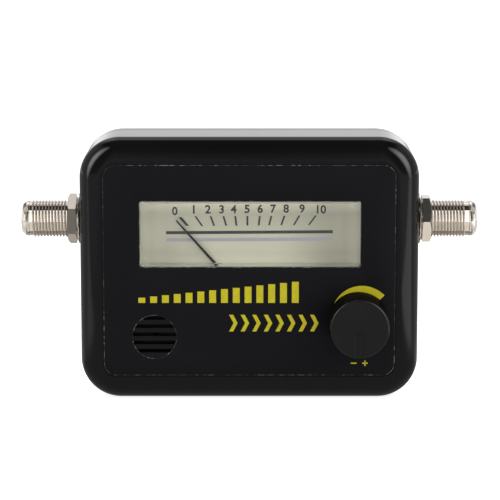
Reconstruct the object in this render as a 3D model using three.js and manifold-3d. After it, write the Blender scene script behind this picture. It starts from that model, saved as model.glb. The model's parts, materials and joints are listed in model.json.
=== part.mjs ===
// Satellite signal meter: a small black box with a lit analogue meter, a sounder, a gain knob
// and a coaxial socket on each side. It stands on its bottom face.
// Millimetres. X runs right as seen from the front, Y away from the viewer, Z up.
// The origin is the centre of the bottom face, at half the depth of the case.
import * as THREE from 'three';
import { mergeVertices } from 'three/addons/utils/BufferGeometryUtils.js';
import Module from 'manifold-3d';

// Case
const caseWidth = 84;
const caseHeight = 65.4;
const caseDepth = 26;
const cornerRadius = 10;
const frontRound = 5.5;
const rearRound = 2;
const sideWall = 2.2;
const frontWall = 2.2;
const rearWall = 2;
const coverDepth = 6.2;
const lipLength = 1.5;
const lipThickness = 1.2;

// Clearances and overruns
const clearance = 0.3;
const runningGap = 0.1;
const seat = 0.02;
const overrun = 1;

// Case screws and their posts
const postRadius = 2.8;
const postInset = 7.6;
const caseScrewRadius = 1.4;
const caseScrewHeadRadius = 2.7;
const caseScrewHeadThickness = 1.8;
const caseScrewHeadDepth = 0.3;
const caseScrewGrip = 9;
const screwSlotDepth = 0.6;
const screwSlotWidth = 0.7;

// Front label
const overlaySideMargin = 5.8;
const overlayTopMargin = 6.25;
const overlayBottomMargin = 6.2;
const overlayRadius = 3.2;
const overlayThickness = 0.35;
const recessDepth = 0.4;
const overlayGap = 0.2;

// Meter window: its sill stands above the gain control
const windowSideMargin = 14.8;
const windowTopMargin = 15.4;
const windowOffset = 0.2;
const windowGap = 0.15;
const windowBevel = 0.4;
const windowSetback = 0.1;
const windowCornerRadius = 0.6;
const coverWall = 1;
const meterMargin = 2;
const meterHead = 3.4;
const meterSill = 3.2;
const sillGap = 2.1;
const meterWall = 1.2;

// Meter movement
const pivotOffset = 0.5;
const pivotDrop = 8.8;
const dialSetback = 5.4;
const dialThickness = 0.4;
const dialTongue = 4.2;
const needleGap = 0.95;
const needleThickness = 0.4;
const needleOverreach = 1.4;
const needleRootWidth = 0.8;
const needleTipWidth = 0.3;
const needleTail = 5;
const needleHubRadius = 1.4;
const needleRestAngle = 42;
const weightRadius = 1;
const pivotRadius = 0.5;
const pivotPoint = 0.25;
const ringOuterRadius = 8.3;
const ringInnerRadius = 5.7;
const ringLength = 5.6;
const coreRadius = 4;
const coreLength = 3.4;
const spacerWidth = 1.6;
const coilWire = 0.6;
const coilWidth = 1.6;
const springWidth = 0.5;
const springThickness = 0.15;
const springInnerRadius = 1.3;
const springOuterRadius = 3.6;
const springTurns = 3.5;
const bridgeThickness = 0.8;
const bridgeHeight = 5;
const jewelRadius = 1.5;
const jewelRearLength = 1.7;
const smallPostRadius = 1.3;
const smallScrewRadius = 0.5;
const smallHeadRadius = 1.2;
const smallHeadThickness = 0.7;
const smallScrewLength = 3;
const dialScrewRise = 4.7;
const terminalRadius = 0.4;
const terminalInset = 1.9;
const lampRadius = 1.5;
const lampFlangeRadius = 1.9;
const lampFlangeThickness = 1;
const lampLength = 5.3;
const lampPlaceShare = 0.36;

// Circuit board
const boardFront = 3;
const boardThickness = 1.6;
const boardRim = 1;
const boardEndMargin = 3.2;
const standoffRadius = 2.2;
const standoffInset = 3;
const standoffRise = 5.9;
const lowerStandoffX = 9;
const boardScrewRadius = 0.9;
const boardScrewHeadRadius = 1.9;
const boardScrewHeadThickness = 1.3;
const boardScrewLength = 6;
const solderTail = 0.9;

// Coaxial sockets
const socketHeightShare = 0.671;
const threadRadius = 4.71;
const threadDepth = 0.42;
const threadPitch = 0.794;
const threadTurns = 11;
const noseRadius = 4.4;
const noseLength = 2.3;
const noseRound = 1.3;
const socketReach = 15.05;
const socketBore = 2.4;
const flangeRadius = 6.5;
const flangeThickness = 1.5;
const stubRadius = 4.1;
const stubLength = 2.3;
const prongWidth = 2;
const prongThickness = 0.8;
const prongReach = 2;
const contactKeep = 1.3;
const insulatorRecess = 0.6;
const contactRadius = 0.5;
const contactMouthRadius = 0.9;
const contactHole = 0.55;
const contactDepth = 9;
const washerRadius = 6.3;
const washerThickness = 1.2;
const nutFlats = 11;
const nutThickness = 2.2;
const nutChamfer = 0.5;
const nutTurns = { left: 0, right: 1 / 12 };

// Gain control: its centre as shares of the case's width and height
const knobPlaceShares = [0.8202, 0.3073];
const knobRadius = 7.25;
const knobSkirtRadius = 7.5;
const knobLength = 10.2;
const knobGap = 0.35;
const knobRound = 0.6;
const knobGrooveWidth = 1.6;
const knobGrooveDepth = 0.5;
const knobGrooveStart = 1;
const knobWall = 1.1;
const knobHubWall = 1.3;
const knobHollowDepth = 6;
const shaftRadius = 3;
const shaftGrip = 7;
const bushingRadius = 4;
const potRadius = 8.2;
const potFront = -7.5;
const potLength = 7;
const potPlate = 1.2;
const potWall = 0.5;
const trackThickness = 0.8;
const wiperThickness = 0.8;
const wiperArmWidth = 1.6;
const potTabWidth = 8;
const potTabLength = 1.8;
const potLegRadius = 0.5;
const potLegPitch = 3;

// Sounder: its centre as shares of the case's width and height
const buzzerPlaceShares = [0.2208, 0.2462];
const grilleRadius = 5.42;
const grilleSlots = 5;
// Shares of the slot pitch: the rest at the edge, one slot, and the rise of the whole row
const grilleRestShare = 0.24;
const grilleSlotShare = 0.435;
const grilleRiseShare = 0.29;
const buzzerRadius = 6;
const buzzerLength = 9.5;
const buzzerWall = 0.8;
const buzzerPort = 1;
const buzzerDiscThickness = 0.4;
const collarWall = 1;
const collarLap = 1;

// Board parts, with their places as shares of the board's width and height
const chipPlaceShares = [0.5, 0.3];
const chipWidth = 9.4;
const chipHeight = 6.4;
const chipDepth = 3.3;
const chipStandoff = 0.5;
const chipLegs = 4;
const chipLegPitch = 2.54;
const chipLegWidth = 0.5;
const transistorPlaceShares = [0.3, 0.28];
const transistorWidth = 4.6;
const transistorDepth = 3.6;
const transistorHeight = 4.4;
const legPitch = 1.27;
const legRadius = 0.25;
const legRise = 1;
const capacitorPlaceShares = [[0.72, 0.3], [0.28, 0.84]];
const capacitorRadius = 2.5;
const capacitorLength = 5.2;
const capacitorRound = 0.4;
const chokePlaceShares = [0.62, 0.84];
const chokeRadius = 3.2;
const chokeLength = 5;
const chokeFlange = 0.8;
const chokeWaist = 0.8;
const resistorPlaceShares = [0.45, 0.62];
const resistorRadius = 0.9;
const resistorLength = 4.2;
const resistorSpan = 7.6;

// Facets
const coarse = 10;
const medium = 18;
const fine = 28;
const cornerSteps = 5;
const roundSteps = 3;

// Planes and places worked out from the sizes above
const frontY = -caseDepth / 2;
const rearY = caseDepth / 2;
const partingY = rearY - coverDepth;
const panelInnerY = frontY + frontWall;
const coverInnerY = rearY - rearWall;
const halfInner = caseWidth / 2 - sideWall;
const recessY = frontY + recessDepth;
const boardBack = boardFront + boardThickness;
const standoffEnd = boardFront - seat;
const knobX = caseWidth * (knobPlaceShares[0] - 0.5);
const knobZ = caseHeight * knobPlaceShares[1];
const windowSill = knobZ + potRadius + sillGap + meterSill;
const windowWidth = caseWidth - 2 * windowSideMargin;
const windowHeight = caseHeight - windowTopMargin - windowSill;
const windowX = windowOffset;
const windowZ = windowSill + windowHeight / 2;
const windowTop = windowSill + windowHeight;
const buzzerX = caseWidth * (buzzerPlaceShares[0] - 0.5);
const buzzerZ = caseHeight * buzzerPlaceShares[1];
const socketZ = caseHeight * socketHeightShare;
const pivotX = windowX - pivotOffset;
const pivotZ = windowSill - pivotDrop;
const dialFrontY = frontY + dialSetback;
const dialBackY = dialFrontY + dialThickness;
const meterBackY = boardFront - seat;
const meterFloorY = meterBackY - meterWall;
const needleY = dialFrontY - needleGap;
const needleLength = windowTop + needleOverreach - pivotZ;
const smallPostOffset = ringOuterRadius + clearance + smallPostRadius;
const contactBend = windowSideMargin - meterMargin - contactKeep;
const boardSideMargin = contactBend - boardRim;
const boardWidth = caseWidth - 2 * boardSideMargin;
const boardHeight = caseHeight - 2 * boardEndMargin;

const wasm = await Module();
wasm.setup();

function solidOf(geometry) {
  const bare = geometry.clone();
  bare.deleteAttribute('normal');
  bare.deleteAttribute('uv');
  const merged = mergeVertices(bare);
  const corners = merged.index.array;
  const triangles = [];
  for (let i = 0; i < corners.length; i += 3) {
    const [a, b, c] = corners.slice(i, i + 3);
    if (a !== b && b !== c && c !== a) triangles.push(a, b, c);
  }
  const vertProperties = merged.attributes.position.array;
  const triVerts = new Uint32Array(triangles);
  return new wasm.Manifold(new wasm.Mesh({ numProp: 3, vertProperties, triVerts }));
}

function geometryOf(solid) {
  const mesh = solid.getMesh();
  const geometry = new THREE.BufferGeometry();
  geometry.setAttribute('position', new THREE.BufferAttribute(mesh.vertProperties, 3));
  geometry.setIndex(new THREE.BufferAttribute(mesh.triVerts, 1));
  geometry.computeVertexNormals();
  return geometry;
}

function cut(geometry, tools) {
  return geometryOf(tools.reduce((body, tool) => body.subtract(solidOf(tool)), solidOf(geometry)));
}

function join(geometries) {
  const [first, ...others] = geometries.map(solidOf);
  return geometryOf(others.reduce((body, other) => body.add(other), first));
}

// A turned solid about the Y axis from [radius, y] points, listed in the direction of rising y outside.
function turned(points, segments) {
  return new THREE.LatheGeometry(points.map(([r, y]) => new THREE.Vector2(r, y)), segments);
}

// The same about the X axis.
function turnedX(points, segments) {
  return turned(points, segments).rotateZ(-Math.PI / 2);
}

function rod(radius, lowY, highY, segments) {
  return turned([[0, lowY], [radius, lowY], [radius, highY], [0, highY]], segments);
}

function ring(inner, outer, lowY, highY, segments) {
  return turned([[inner, lowY], [outer, lowY], [outer, highY], [inner, highY], [inner, lowY]], segments);
}

function box(lowX, highX, lowY, highY, lowZ, highZ) {
  const geometry = new THREE.BoxGeometry(highX - lowX, highY - lowY, highZ - lowZ);
  return geometry.translate((lowX + highX) / 2, (lowY + highY) / 2, (lowZ + highZ) / 2);
}

// A plate whose outline is a shape in X and Z, from lowY to highY.
function plate(shape, lowY, highY, curveSegments = cornerSteps) {
  const options = { depth: highY - lowY, bevelEnabled: false, curveSegments };
  return new THREE.ExtrudeGeometry(shape, options).rotateX(Math.PI / 2).translate(0, highY, 0);
}

function polygon(points) {
  return new THREE.Shape(points.map(([x, z]) => new THREE.Vector2(x, z)));
}

function roundedOutline(lowX, highX, lowZ, highZ, radius) {
  const corners = [[highX, lowZ, 1, -1], [highX, highZ, 1, 1], [lowX, highZ, -1, 1], [lowX, lowZ, -1, -1]];
  return corners.flatMap(([x, z, sideX, sideZ], corner) => {
    const points = [];
    for (let step = 0; step <= cornerSteps; step += 1) {
      const angle = (corner - 1 + step / cornerSteps) * Math.PI / 2;
      points.push([x + radius * (Math.cos(angle) - sideX), z + radius * (Math.sin(angle) - sideZ)]);
    }
    return points;
  });
}

// A closed body through layers of outlines, each with as many points, from low y to high y.
function layered(layers) {
  const positions = [];
  const triangles = [];
  const count = layers[0].outline.length;
  layers.forEach(({ y, outline }) => outline.forEach(([x, z]) => positions.push(x, y, z)));
  for (let layer = 0; layer + 1 < layers.length; layer += 1) {
    for (let i = 0; i < count; i += 1) {
      const a = layer * count + i;
      const b = layer * count + (i + 1) % count;
      triangles.push(a, a + count, b, b, a + count, b + count);
    }
  }
  const last = (layers.length - 1) * count;
  for (let i = 1; i + 1 < count; i += 1) {
    triangles.push(0, i, i + 1);
    triangles.push(last, last + i + 1, last + i);
  }
  const geometry = new THREE.BufferGeometry();
  geometry.setAttribute('position', new THREE.BufferAttribute(new Float32Array(positions), 3));
  geometry.setIndex(triangles);
  return geometry;
}

// The outline of the case, drawn in by an inset, at a given y.
function caseLayer(y, inset, radius = cornerRadius) {
  const half = caseWidth / 2 - inset;
  return { y, outline: roundedOutline(-half, half, inset, caseHeight - inset, radius - inset) };
}

function roundLayers(edgeY, towards, round, wall) {
  const layers = [];
  for (let step = 0; step <= roundSteps; step += 1) {
    const angle = (step / roundSteps) * Math.PI / 2;
    const inset = wall + round * (1 - Math.sin(angle));
    layers.push(caseLayer(edgeY + towards * round * (1 - Math.cos(angle)), inset));
  }
  return layers;
}

function caseBlock(lowY, highY) {
  const front = lowY < partingY ? roundLayers(lowY, 1, frontRound, 0) : [caseLayer(lowY, 0)];
  const rear = highY > partingY ? roundLayers(highY, -1, rearRound, 0).reverse() : [caseLayer(highY, 0)];
  return layered([...front, ...rear]);
}

// Four places, in mirrored pairs at the bottom and the top of the case, as far in from each.
function fourPlaces(lowerX, upperX, rise) {
  return [[-lowerX, rise], [lowerX, rise], [upperX, caseHeight - rise], [-upperX, caseHeight - rise]];
}

const screwX = caseWidth / 2 - postInset;
const screwPlaces = fourPlaces(screwX, screwX, postInset);
const standoffPlaces = fourPlaces(lowerStandoffX, boardWidth / 2 - standoffInset, standoffRise);

function socketHole(side) {
  const start = side * (halfInner - overrun);
  const end = side * (caseWidth / 2 + overrun);
  const hole = rod(threadRadius + clearance, Math.min(start, end), Math.max(start, end), fine);
  return hole.rotateZ(-Math.PI / 2).translate(0, 0, socketZ);
}

function windowOutline(gap, inset = 0) {
  const half = windowWidth / 2 - gap - inset;
  const low = windowSill + gap + inset;
  const high = windowTop - gap - inset;
  return roundedOutline(windowX - half, windowX + half, low, high, windowCornerRadius);
}

function overlayOutline(gap) {
  const half = caseWidth / 2 - overlaySideMargin - gap;
  const top = caseHeight - overlayTopMargin - gap;
  return roundedOutline(-half, half, overlayBottomMargin + gap, top, overlayRadius - gap);
}

function grilleSlotTool(index) {
  const pitch = 2 * grilleRadius / (grilleSlots + grilleRestShare);
  const z = (index - (grilleSlots - 1) / 2 + grilleRiseShare) * pitch;
  const half = Math.sqrt(grilleRadius ** 2 - z ** 2);
  const low = z - grilleSlotShare * pitch / 2;
  const high = z + grilleSlotShare * pitch / 2;
  const slot = box(-half, half, frontY - overrun, panelInnerY + overrun, low, high);
  return slot.translate(buzzerX, 0, buzzerZ);
}

function frontCase() {
  const innerRound = frontRound - sideWall;
  const cavity = layered([
    ...roundLayers(panelInnerY, 1, innerRound, sideWall),
    caseLayer(partingY + overrun, sideWall),
  ]);
  const shell = cut(caseBlock(frontY, partingY), [cavity]);
  const posts = screwPlaces.map(([x, z]) => (
    rod(postRadius, panelInnerY - overrun, partingY - seat, coarse).translate(x, 0, z)
  ));
  const standoffs = standoffPlaces.map(([x, z]) => (
    rod(standoffRadius, panelInnerY - overrun, standoffEnd, coarse).translate(x, 0, z)
  ));
  const collarEnd = boardFront - seat - buzzerLength + collarLap;
  const collar = ring(
    buzzerRadius + clearance, buzzerRadius + clearance + collarWall, panelInnerY - overrun, collarEnd, medium,
  ).translate(buzzerX, 0, buzzerZ);
  const screwBottom = partingY - caseScrewGrip;
  const pilots = screwPlaces.map(([x, z]) => (
    rod(caseScrewRadius + clearance, screwBottom, partingY + overrun, coarse).translate(x, 0, z)
  ));
  const boardPilots = standoffPlaces.map(([x, z]) => (
    rod(boardScrewRadius + clearance, standoffEnd - boardScrewLength, boardFront + overrun, coarse)
      .translate(x, 0, z)
  ));
  const label = overlayOutline(0);
  const recess = layered([{ y: frontY - overrun, outline: label }, { y: recessY, outline: label }]);
  const opening = windowOutline(0);
  const window = layered([
    { y: frontY - overrun, outline: opening }, { y: panelInnerY + overrun, outline: opening },
  ]);
  const bushingHole = rod(bushingRadius + clearance, frontY - overrun, panelInnerY + overrun, medium)
    .translate(knobX, 0, knobZ);
  const slots = Array.from({ length: grilleSlots }, (_, index) => grilleSlotTool(index));
  return cut(join([shell, ...posts, ...standoffs, collar]), [
    ...pilots, ...boardPilots, recess, window, bushingHole, ...slots, socketHole(-1), socketHole(1),
  ]);
}

function rearCover() {
  const cavity = layered([caseLayer(partingY - overrun, sideWall), caseLayer(coverInnerY, sideWall)]);
  const lipOuter = sideWall + clearance;
  const lipInner = lipOuter + lipThickness;
  const lip = cut(
    layered([caseLayer(partingY - lipLength, lipOuter), caseLayer(coverInnerY + overrun / 2, lipOuter)]),
    [layered([caseLayer(partingY - lipLength - overrun, lipInner), caseLayer(coverInnerY, lipInner)])],
  );
  const bosses = screwPlaces.map(([x, z]) => (
    rod(caseScrewHeadRadius + 2 * clearance, partingY, coverInnerY + overrun / 2, coarse).translate(x, 0, z)
  ));
  const shanks = screwPlaces.map(([x, z]) => (
    rod(caseScrewRadius + clearance, partingY - overrun, rearY, coarse).translate(x, 0, z)
  ));
  const headSeat = rearY - caseScrewHeadDepth - caseScrewHeadThickness;
  const heads = screwPlaces.map(([x, z]) => (
    rod(caseScrewHeadRadius + clearance, headSeat, rearY + overrun, medium).translate(x, 0, z)
  ));
  const notchHalf = flangeRadius + clearance;
  const notchX = caseWidth / 2 - sideWall - flangeThickness - clearance - lipThickness;
  const notches = [-1, 1].map((side) => {
    const ends = [side * notchX, side * halfInner].sort((a, b) => a - b);
    return box(...ends, partingY - lipLength - overrun, partingY, socketZ - notchHalf, socketZ + notchHalf);
  });
  const body = join([cut(caseBlock(partingY, rearY), [cavity]), lip, ...bosses]);
  return cut(body, [...shanks, ...heads, ...notches]);
}

function caseScrew() {
  const headBottom = rearY - caseScrewHeadDepth - caseScrewHeadThickness + seat;
  const tip = partingY - caseScrewGrip + clearance;
  const screw = turned([
    [0, tip], [caseScrewRadius, tip + caseScrewRadius], [caseScrewRadius, headBottom],
    [caseScrewHeadRadius, headBottom], [caseScrewHeadRadius, headBottom + caseScrewHeadThickness * 2 / 3],
    [caseScrewHeadRadius * 2 / 3, headBottom + caseScrewHeadThickness],
    [0, headBottom + caseScrewHeadThickness],
  ], coarse);
  const top = headBottom + caseScrewHeadThickness;
  const reach = caseScrewHeadRadius * 2 / 3;
  const half = screwSlotWidth / 2;
  return cut(screw, [
    box(-reach, reach, top - screwSlotDepth, top + overrun, -half, half),
    box(-half, half, top - screwSlotDepth, top + overrun, -reach, reach),
  ]);
}

// A small slotted screw that stands along Y, with its head's seat at y = 0 and its shank behind it.
function slottedScrew(radius, length, headRadius, headThickness) {
  const screw = turned([
    [0, -headThickness], [headRadius * 2 / 3, -headThickness], [headRadius, -headThickness / 2],
    [headRadius, 0], [radius, 0], [radius, length], [0, length],
  ], coarse);
  const slotHalf = headRadius / 6;
  return cut(screw, [
    box(-headRadius, headRadius, -headThickness - overrun, -headThickness * 2 / 3, -slotHalf, slotHalf),
  ]);
}

function frontOverlay() {
  const outline = overlayOutline(overlayGap);
  const lowY = recessY - overlayThickness;
  const sheet = layered([{ y: lowY, outline }, { y: recessY - seat, outline }]);
  const opening = windowOutline(0);
  return cut(sheet, [
    layered([{ y: lowY - overrun, outline: opening }, { y: recessY + overrun, outline: opening }]),
    rod(grilleRadius, lowY - overrun, recessY + overrun, fine).translate(buzzerX, 0, buzzerZ),
    rod(bushingRadius + clearance, lowY - overrun, recessY + overrun, medium).translate(knobX, 0, knobZ),
  ]);
}

// The meter's outline: a wide part behind the window and a narrower well round the movement.
function meterShape(inset) {
  const halfX = windowWidth / 2 + meterMargin - inset;
  const top = windowTop + meterHead - inset;
  const sill = windowSill - meterSill + inset;
  const well = smallPostOffset + smallPostRadius + clearance + meterWall - inset;
  const bottom = pivotZ - ringOuterRadius - clearance - meterWall + inset;
  return polygon([
    [pivotX - well, bottom], [pivotX + well, bottom], [pivotX + well, sill], [windowX + halfX, sill],
    [windowX + halfX, top], [windowX - halfX, top], [windowX - halfX, sill], [pivotX - well, sill],
  ]);
}

function meterCover() {
  const lowY = panelInnerY + seat;
  const rimY = dialBackY - seat;
  const skirt = plate(meterShape(0), lowY, rimY);
  const inside = plate(meterShape(meterWall), lowY + coverWall, rimY + overrun);
  const tipY = frontY + windowSetback;
  const window = layered([
    { y: tipY, outline: windowOutline(windowGap, windowBevel) },
    { y: tipY + windowBevel, outline: windowOutline(windowGap) },
    { y: lowY + coverWall / 2, outline: windowOutline(windowGap) },
  ]);
  const hollow = layered([
    { y: tipY + coverWall, outline: windowOutline(windowGap, coverWall) },
    { y: lowY + coverWall + overrun, outline: windowOutline(windowGap, coverWall) },
  ]);
  return cut(join([skirt, window]), [inside, hollow]);
}

const lampPlaces = [-1, 1].map((side) => [windowX + side * windowWidth * lampPlaceShare, windowZ]);
const bridgeScrewPlaces = [-1, 1].map((side) => [pivotX + side * smallPostOffset, pivotZ]);
const dialScrewPlaces = bridgeScrewPlaces.map(([x, z]) => [x, z + dialScrewRise]);
const terminalPlaces = [-1, 1].map((side) => [
  pivotX + side * smallPostOffset, pivotZ - ringOuterRadius + terminalInset,
]);
const coilFrontY = meterFloorY - ringLength - coilWire;
const coilLength = coreLength + 2 * clearance + 2 * coilWire;
const coilBackY = coilFrontY + coilLength;
const jewelFloorY = meterBackY - clearance;
const springY = coilFrontY - clearance - springWidth;
const bridgeY = springY - clearance - bridgeThickness;

function meterBase() {
  const tray = cut(plate(meterShape(0), dialBackY, meterBackY), [
    plate(meterShape(meterWall), dialBackY - overrun, meterFloorY),
  ]);
  const postBack = meterFloorY + meterWall / 2;
  const dialPosts = dialScrewPlaces.map(([x, z]) => (
    rod(smallPostRadius, dialBackY + seat, postBack, coarse).translate(x, 0, z)
  ));
  const bridgePosts = bridgeScrewPlaces.map(([x, z]) => (
    rod(smallPostRadius, bridgeY + bridgeThickness + seat, postBack, coarse).translate(x, 0, z)
  ));
  const pilotRadius = smallScrewRadius + runningGap;
  const pilotLength = smallScrewLength + clearance;
  const dialPilots = dialScrewPlaces.map(([x, z]) => (
    rod(pilotRadius, dialBackY - overrun, dialBackY + pilotLength, coarse).translate(x, 0, z)
  ));
  const bridgePilots = bridgeScrewPlaces.map(([x, z]) => (
    rod(pilotRadius, bridgeY, bridgeY + bridgeThickness + pilotLength, coarse).translate(x, 0, z)
  ));
  const lampHoles = lampPlaces.map(([x, z]) => (
    rod(lampFlangeRadius + clearance, meterFloorY - overrun, meterBackY + overrun, coarse).translate(x, 0, z)
  ));
  const terminalHoles = terminalPlaces.map(([x, z]) => (
    rod(terminalRadius + runningGap, meterFloorY - overrun, meterBackY + overrun, coarse).translate(x, 0, z)
  ));
  const jewelHole = rod(jewelRadius + clearance, meterFloorY - overrun, meterBackY + overrun, coarse)
    .translate(pivotX, 0, pivotZ);
  return cut(join([tray, ...dialPosts, ...bridgePosts]), [
    ...dialPilots, ...bridgePilots, ...lampHoles, ...terminalHoles, jewelHole,
  ]);
}

function dialPlate() {
  const halfX = windowWidth / 2 + meterMargin - meterWall - clearance;
  const top = windowTop + meterHead - meterWall - clearance;
  const sill = windowSill - meterSill + meterWall + clearance;
  const tongue = smallPostOffset + smallPostRadius;
  const bottom = pivotZ + dialScrewRise - smallPostRadius;
  const sheet = plate(polygon([
    [pivotX - tongue, bottom], [pivotX + tongue, bottom], [pivotX + tongue, sill], [windowX + halfX, sill],
    [windowX + halfX, top], [windowX - halfX, top], [windowX - halfX, sill], [pivotX - tongue, sill],
  ]), dialFrontY, dialBackY);
  const notch = rod(dialTongue, dialFrontY - overrun, dialBackY + overrun, medium)
    .translate(pivotX, 0, pivotZ);
  const holes = dialScrewPlaces.map(([x, z]) => (
    rod(smallScrewRadius + runningGap, dialFrontY - overrun, dialBackY + overrun, coarse).translate(x, 0, z)
  ));
  return cut(sheet, [notch, ...holes]);
}

// The movement's pieces are made about the pivot line and moved there by their group.
function needlePiece() {
  const half = needleRootWidth / 2;
  const tip = needleTipWidth / 2;
  const blade = plate(polygon([
    [-half, -needleTail], [half, -needleTail], [half, 0],
    [tip, needleLength], [-tip, needleLength], [-half, 0],
  ]), -needleThickness / 2, needleThickness / 2);
  const hub = rod(needleHubRadius, -needleThickness / 2, needleThickness, coarse);
  const bore = rod(pivotRadius + runningGap, -overrun, overrun, coarse);
  return cut(join([blade, hub]), [bore]);
}

function needleWeight() {
  const front = needleThickness / 2 + seat;
  return rod(weightRadius, front, front + needleThickness, coarse);
}

function pivotFront() {
  const low = -needleThickness / 2 - runningGap;
  return rod(pivotRadius, low, coilFrontY - seat - needleY, coarse);
}

function pivotRear() {
  const length = jewelFloorY - runningGap - coilBackY;
  return turned([
    [0, seat], [pivotRadius, seat], [pivotRadius, length / 2], [pivotPoint, length], [0, length],
  ], coarse);
}

function coilPiece() {
  const inner = (coreRadius + ringInnerRadius) / 2 - coilWire / 2;
  const outer = inner + coilWire;
  return cut(box(-outer, outer, 0, coilLength, -coilWidth / 2, coilWidth / 2), [
    box(-inner, inner, coilWire, coilLength - coilWire, -coilWidth, coilWidth),
  ]);
}

// A flat spiral ribbon, drawn as its outer edge out and its inner edge back.
function hairspringPiece() {
  const steps = springTurns * coarse;
  const along = (step, offset) => {
    const radius = springInnerRadius + (springOuterRadius - springInnerRadius) * (step / steps) + offset;
    const angle = (step / coarse) * 2 * Math.PI;
    return [radius * Math.cos(angle), radius * Math.sin(angle)];
  };
  const points = [];
  for (let step = 0; step <= steps; step += 1) points.push(along(step, springThickness / 2));
  for (let step = steps; step >= 0; step -= 1) points.push(along(step, -springThickness / 2));
  return plate(polygon(points), 0, springWidth);
}

function bridgePiece() {
  const half = smallPostOffset + smallPostRadius;
  const bar = plate(polygon([
    [-half, -smallPostRadius], [-bridgeHeight / 2, -bridgeHeight / 2], [bridgeHeight / 2, -bridgeHeight / 2],
    [half, -smallPostRadius], [half, smallPostRadius], [bridgeHeight / 2, bridgeHeight / 2],
    [-bridgeHeight / 2, bridgeHeight / 2], [-half, smallPostRadius],
  ]), 0, bridgeThickness);
  const jewelHole = rod(jewelRadius + runningGap, -overrun, bridgeThickness + overrun, coarse);
  const screwHoles = [-1, 1].map((side) => (
    rod(smallScrewRadius + runningGap, -overrun, bridgeThickness + overrun, coarse)
      .translate(side * smallPostOffset, 0, 0)
  ));
  return cut(bar, [jewelHole, ...screwHoles]);
}

function jewelRear() {
  const low = meterBackY - seat - jewelRearLength;
  const bore = pivotRadius + runningGap;
  return turned([
    [0, jewelFloorY], [bore, jewelFloorY], [bore, low], [jewelRadius, low],
    [jewelRadius, meterBackY - seat], [0, meterBackY - seat],
  ], coarse);
}

function lampPiece() {
  const back = boardFront - seat;
  const shoulder = back - lampFlangeThickness;
  const points = [[0, back - lampLength]];
  for (let step = 1; step <= roundSteps; step += 1) {
    const angle = (step / roundSteps) * Math.PI / 2;
    const y = back - lampLength + lampRadius * (1 - Math.cos(angle));
    points.push([lampRadius * Math.sin(angle), y]);
  }
  points.push([lampRadius, shoulder], [lampFlangeRadius, shoulder], [lampFlangeRadius, back], [0, back]);
  return turned(points, coarse);
}

function terminalPiece() {
  return rod(terminalRadius, meterFloorY - terminalInset, boardBack + solderTail, coarse);
}

// A coaxial socket's pieces stand along X, with x = 0 at the outer face of the case's side wall.
const socketEnd = socketReach - seat;
const nutStart = washerThickness + 2 * seat;

function threadProfile() {
  const end = socketEnd - noseLength;
  const start = end - threadTurns * threadPitch;
  const points = [[threadRadius, start]];
  for (let turn = 0; turn < threadTurns; turn += 1) {
    const y = start + turn * threadPitch;
    points.push([threadRadius - threadDepth, y + threadPitch / 2], [threadRadius, y + threadPitch]);
  }
  return points;
}

function socketBody() {
  const flangeOuter = -sideWall - seat;
  const flangeInner = flangeOuter - flangeThickness;
  const stub = flangeInner - stubLength;
  const body = turnedX([
    [socketBore, stub], [stubRadius, stub], [stubRadius, flangeInner], [flangeRadius, flangeInner],
    [flangeRadius, flangeOuter], [threadRadius, flangeOuter], ...threadProfile(),
    [noseRadius, socketEnd - noseLength], [noseRadius, socketEnd - noseRound],
    [noseRadius - noseRound, socketEnd], [socketBore, socketEnd], [socketBore, stub],
  ], medium);
  const prongY = boardBack + clearance;
  const tip = boardSideMargin + prongReach;
  const offset = contactRadius + 2 * clearance;
  const prong = box(-tip, flangeInner + flangeThickness / 2, prongY, prongY + prongThickness,
    offset, offset + prongWidth);
  return join([body, prong]);
}

function socketInsulator() {
  const stub = -sideWall - seat - flangeThickness - stubLength;
  const front = socketEnd - insulatorRecess;
  const outer = socketBore - runningGap;
  const inner = contactMouthRadius + runningGap;
  return turnedX([[inner, stub], [outer, stub], [outer, front], [inner, front], [inner, stub]], medium);
}

// The contact runs in along X to the board and turns into its hole.
function socketContact() {
  const front = socketEnd - insulatorRecess - runningGap;
  const stub = -sideWall - seat - flangeThickness - stubLength;
  const sleeve = turnedX([
    [0, stub], [contactMouthRadius, stub], [contactMouthRadius, front], [contactHole, front],
    [contactHole, front - contactDepth], [0, front - contactDepth],
  ], coarse);
  const tail = turnedX([
    [0, -contactBend], [contactRadius, -contactBend], [contactRadius, stub + overrun], [0, stub + overrun],
  ], coarse);
  const leg = rod(contactRadius, -contactRadius, boardBack + solderTail, coarse)
    .translate(-contactBend, 0, 0);
  return join([sleeve, tail, leg]);
}

function socketWasher() {
  const bore = threadRadius + runningGap;
  return ring(bore, washerRadius, seat, seat + washerThickness, fine).rotateZ(-Math.PI / 2);
}

function socketNut(turn) {
  const corner = nutFlats / Math.sqrt(3);
  const end = nutStart + nutThickness;
  const hexagon = turnedX([[0, nutStart], [corner, nutStart], [corner, end], [0, end]], 6);
  const chamfered = solidOf(hexagon).intersect(solidOf(turnedX([
    [0, nutStart], [corner, nutStart], [corner, end - nutChamfer / 2], [corner - nutChamfer, end], [0, end],
  ], fine)));
  const bore = turnedX([
    [0, nutStart - overrun], [threadRadius + runningGap, nutStart - overrun],
    [threadRadius + runningGap, end + overrun], [0, end + overrun],
  ], medium);
  return geometryOf(chamfered.subtract(solidOf(bore))).rotateX(turn * 2 * Math.PI);
}

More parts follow.
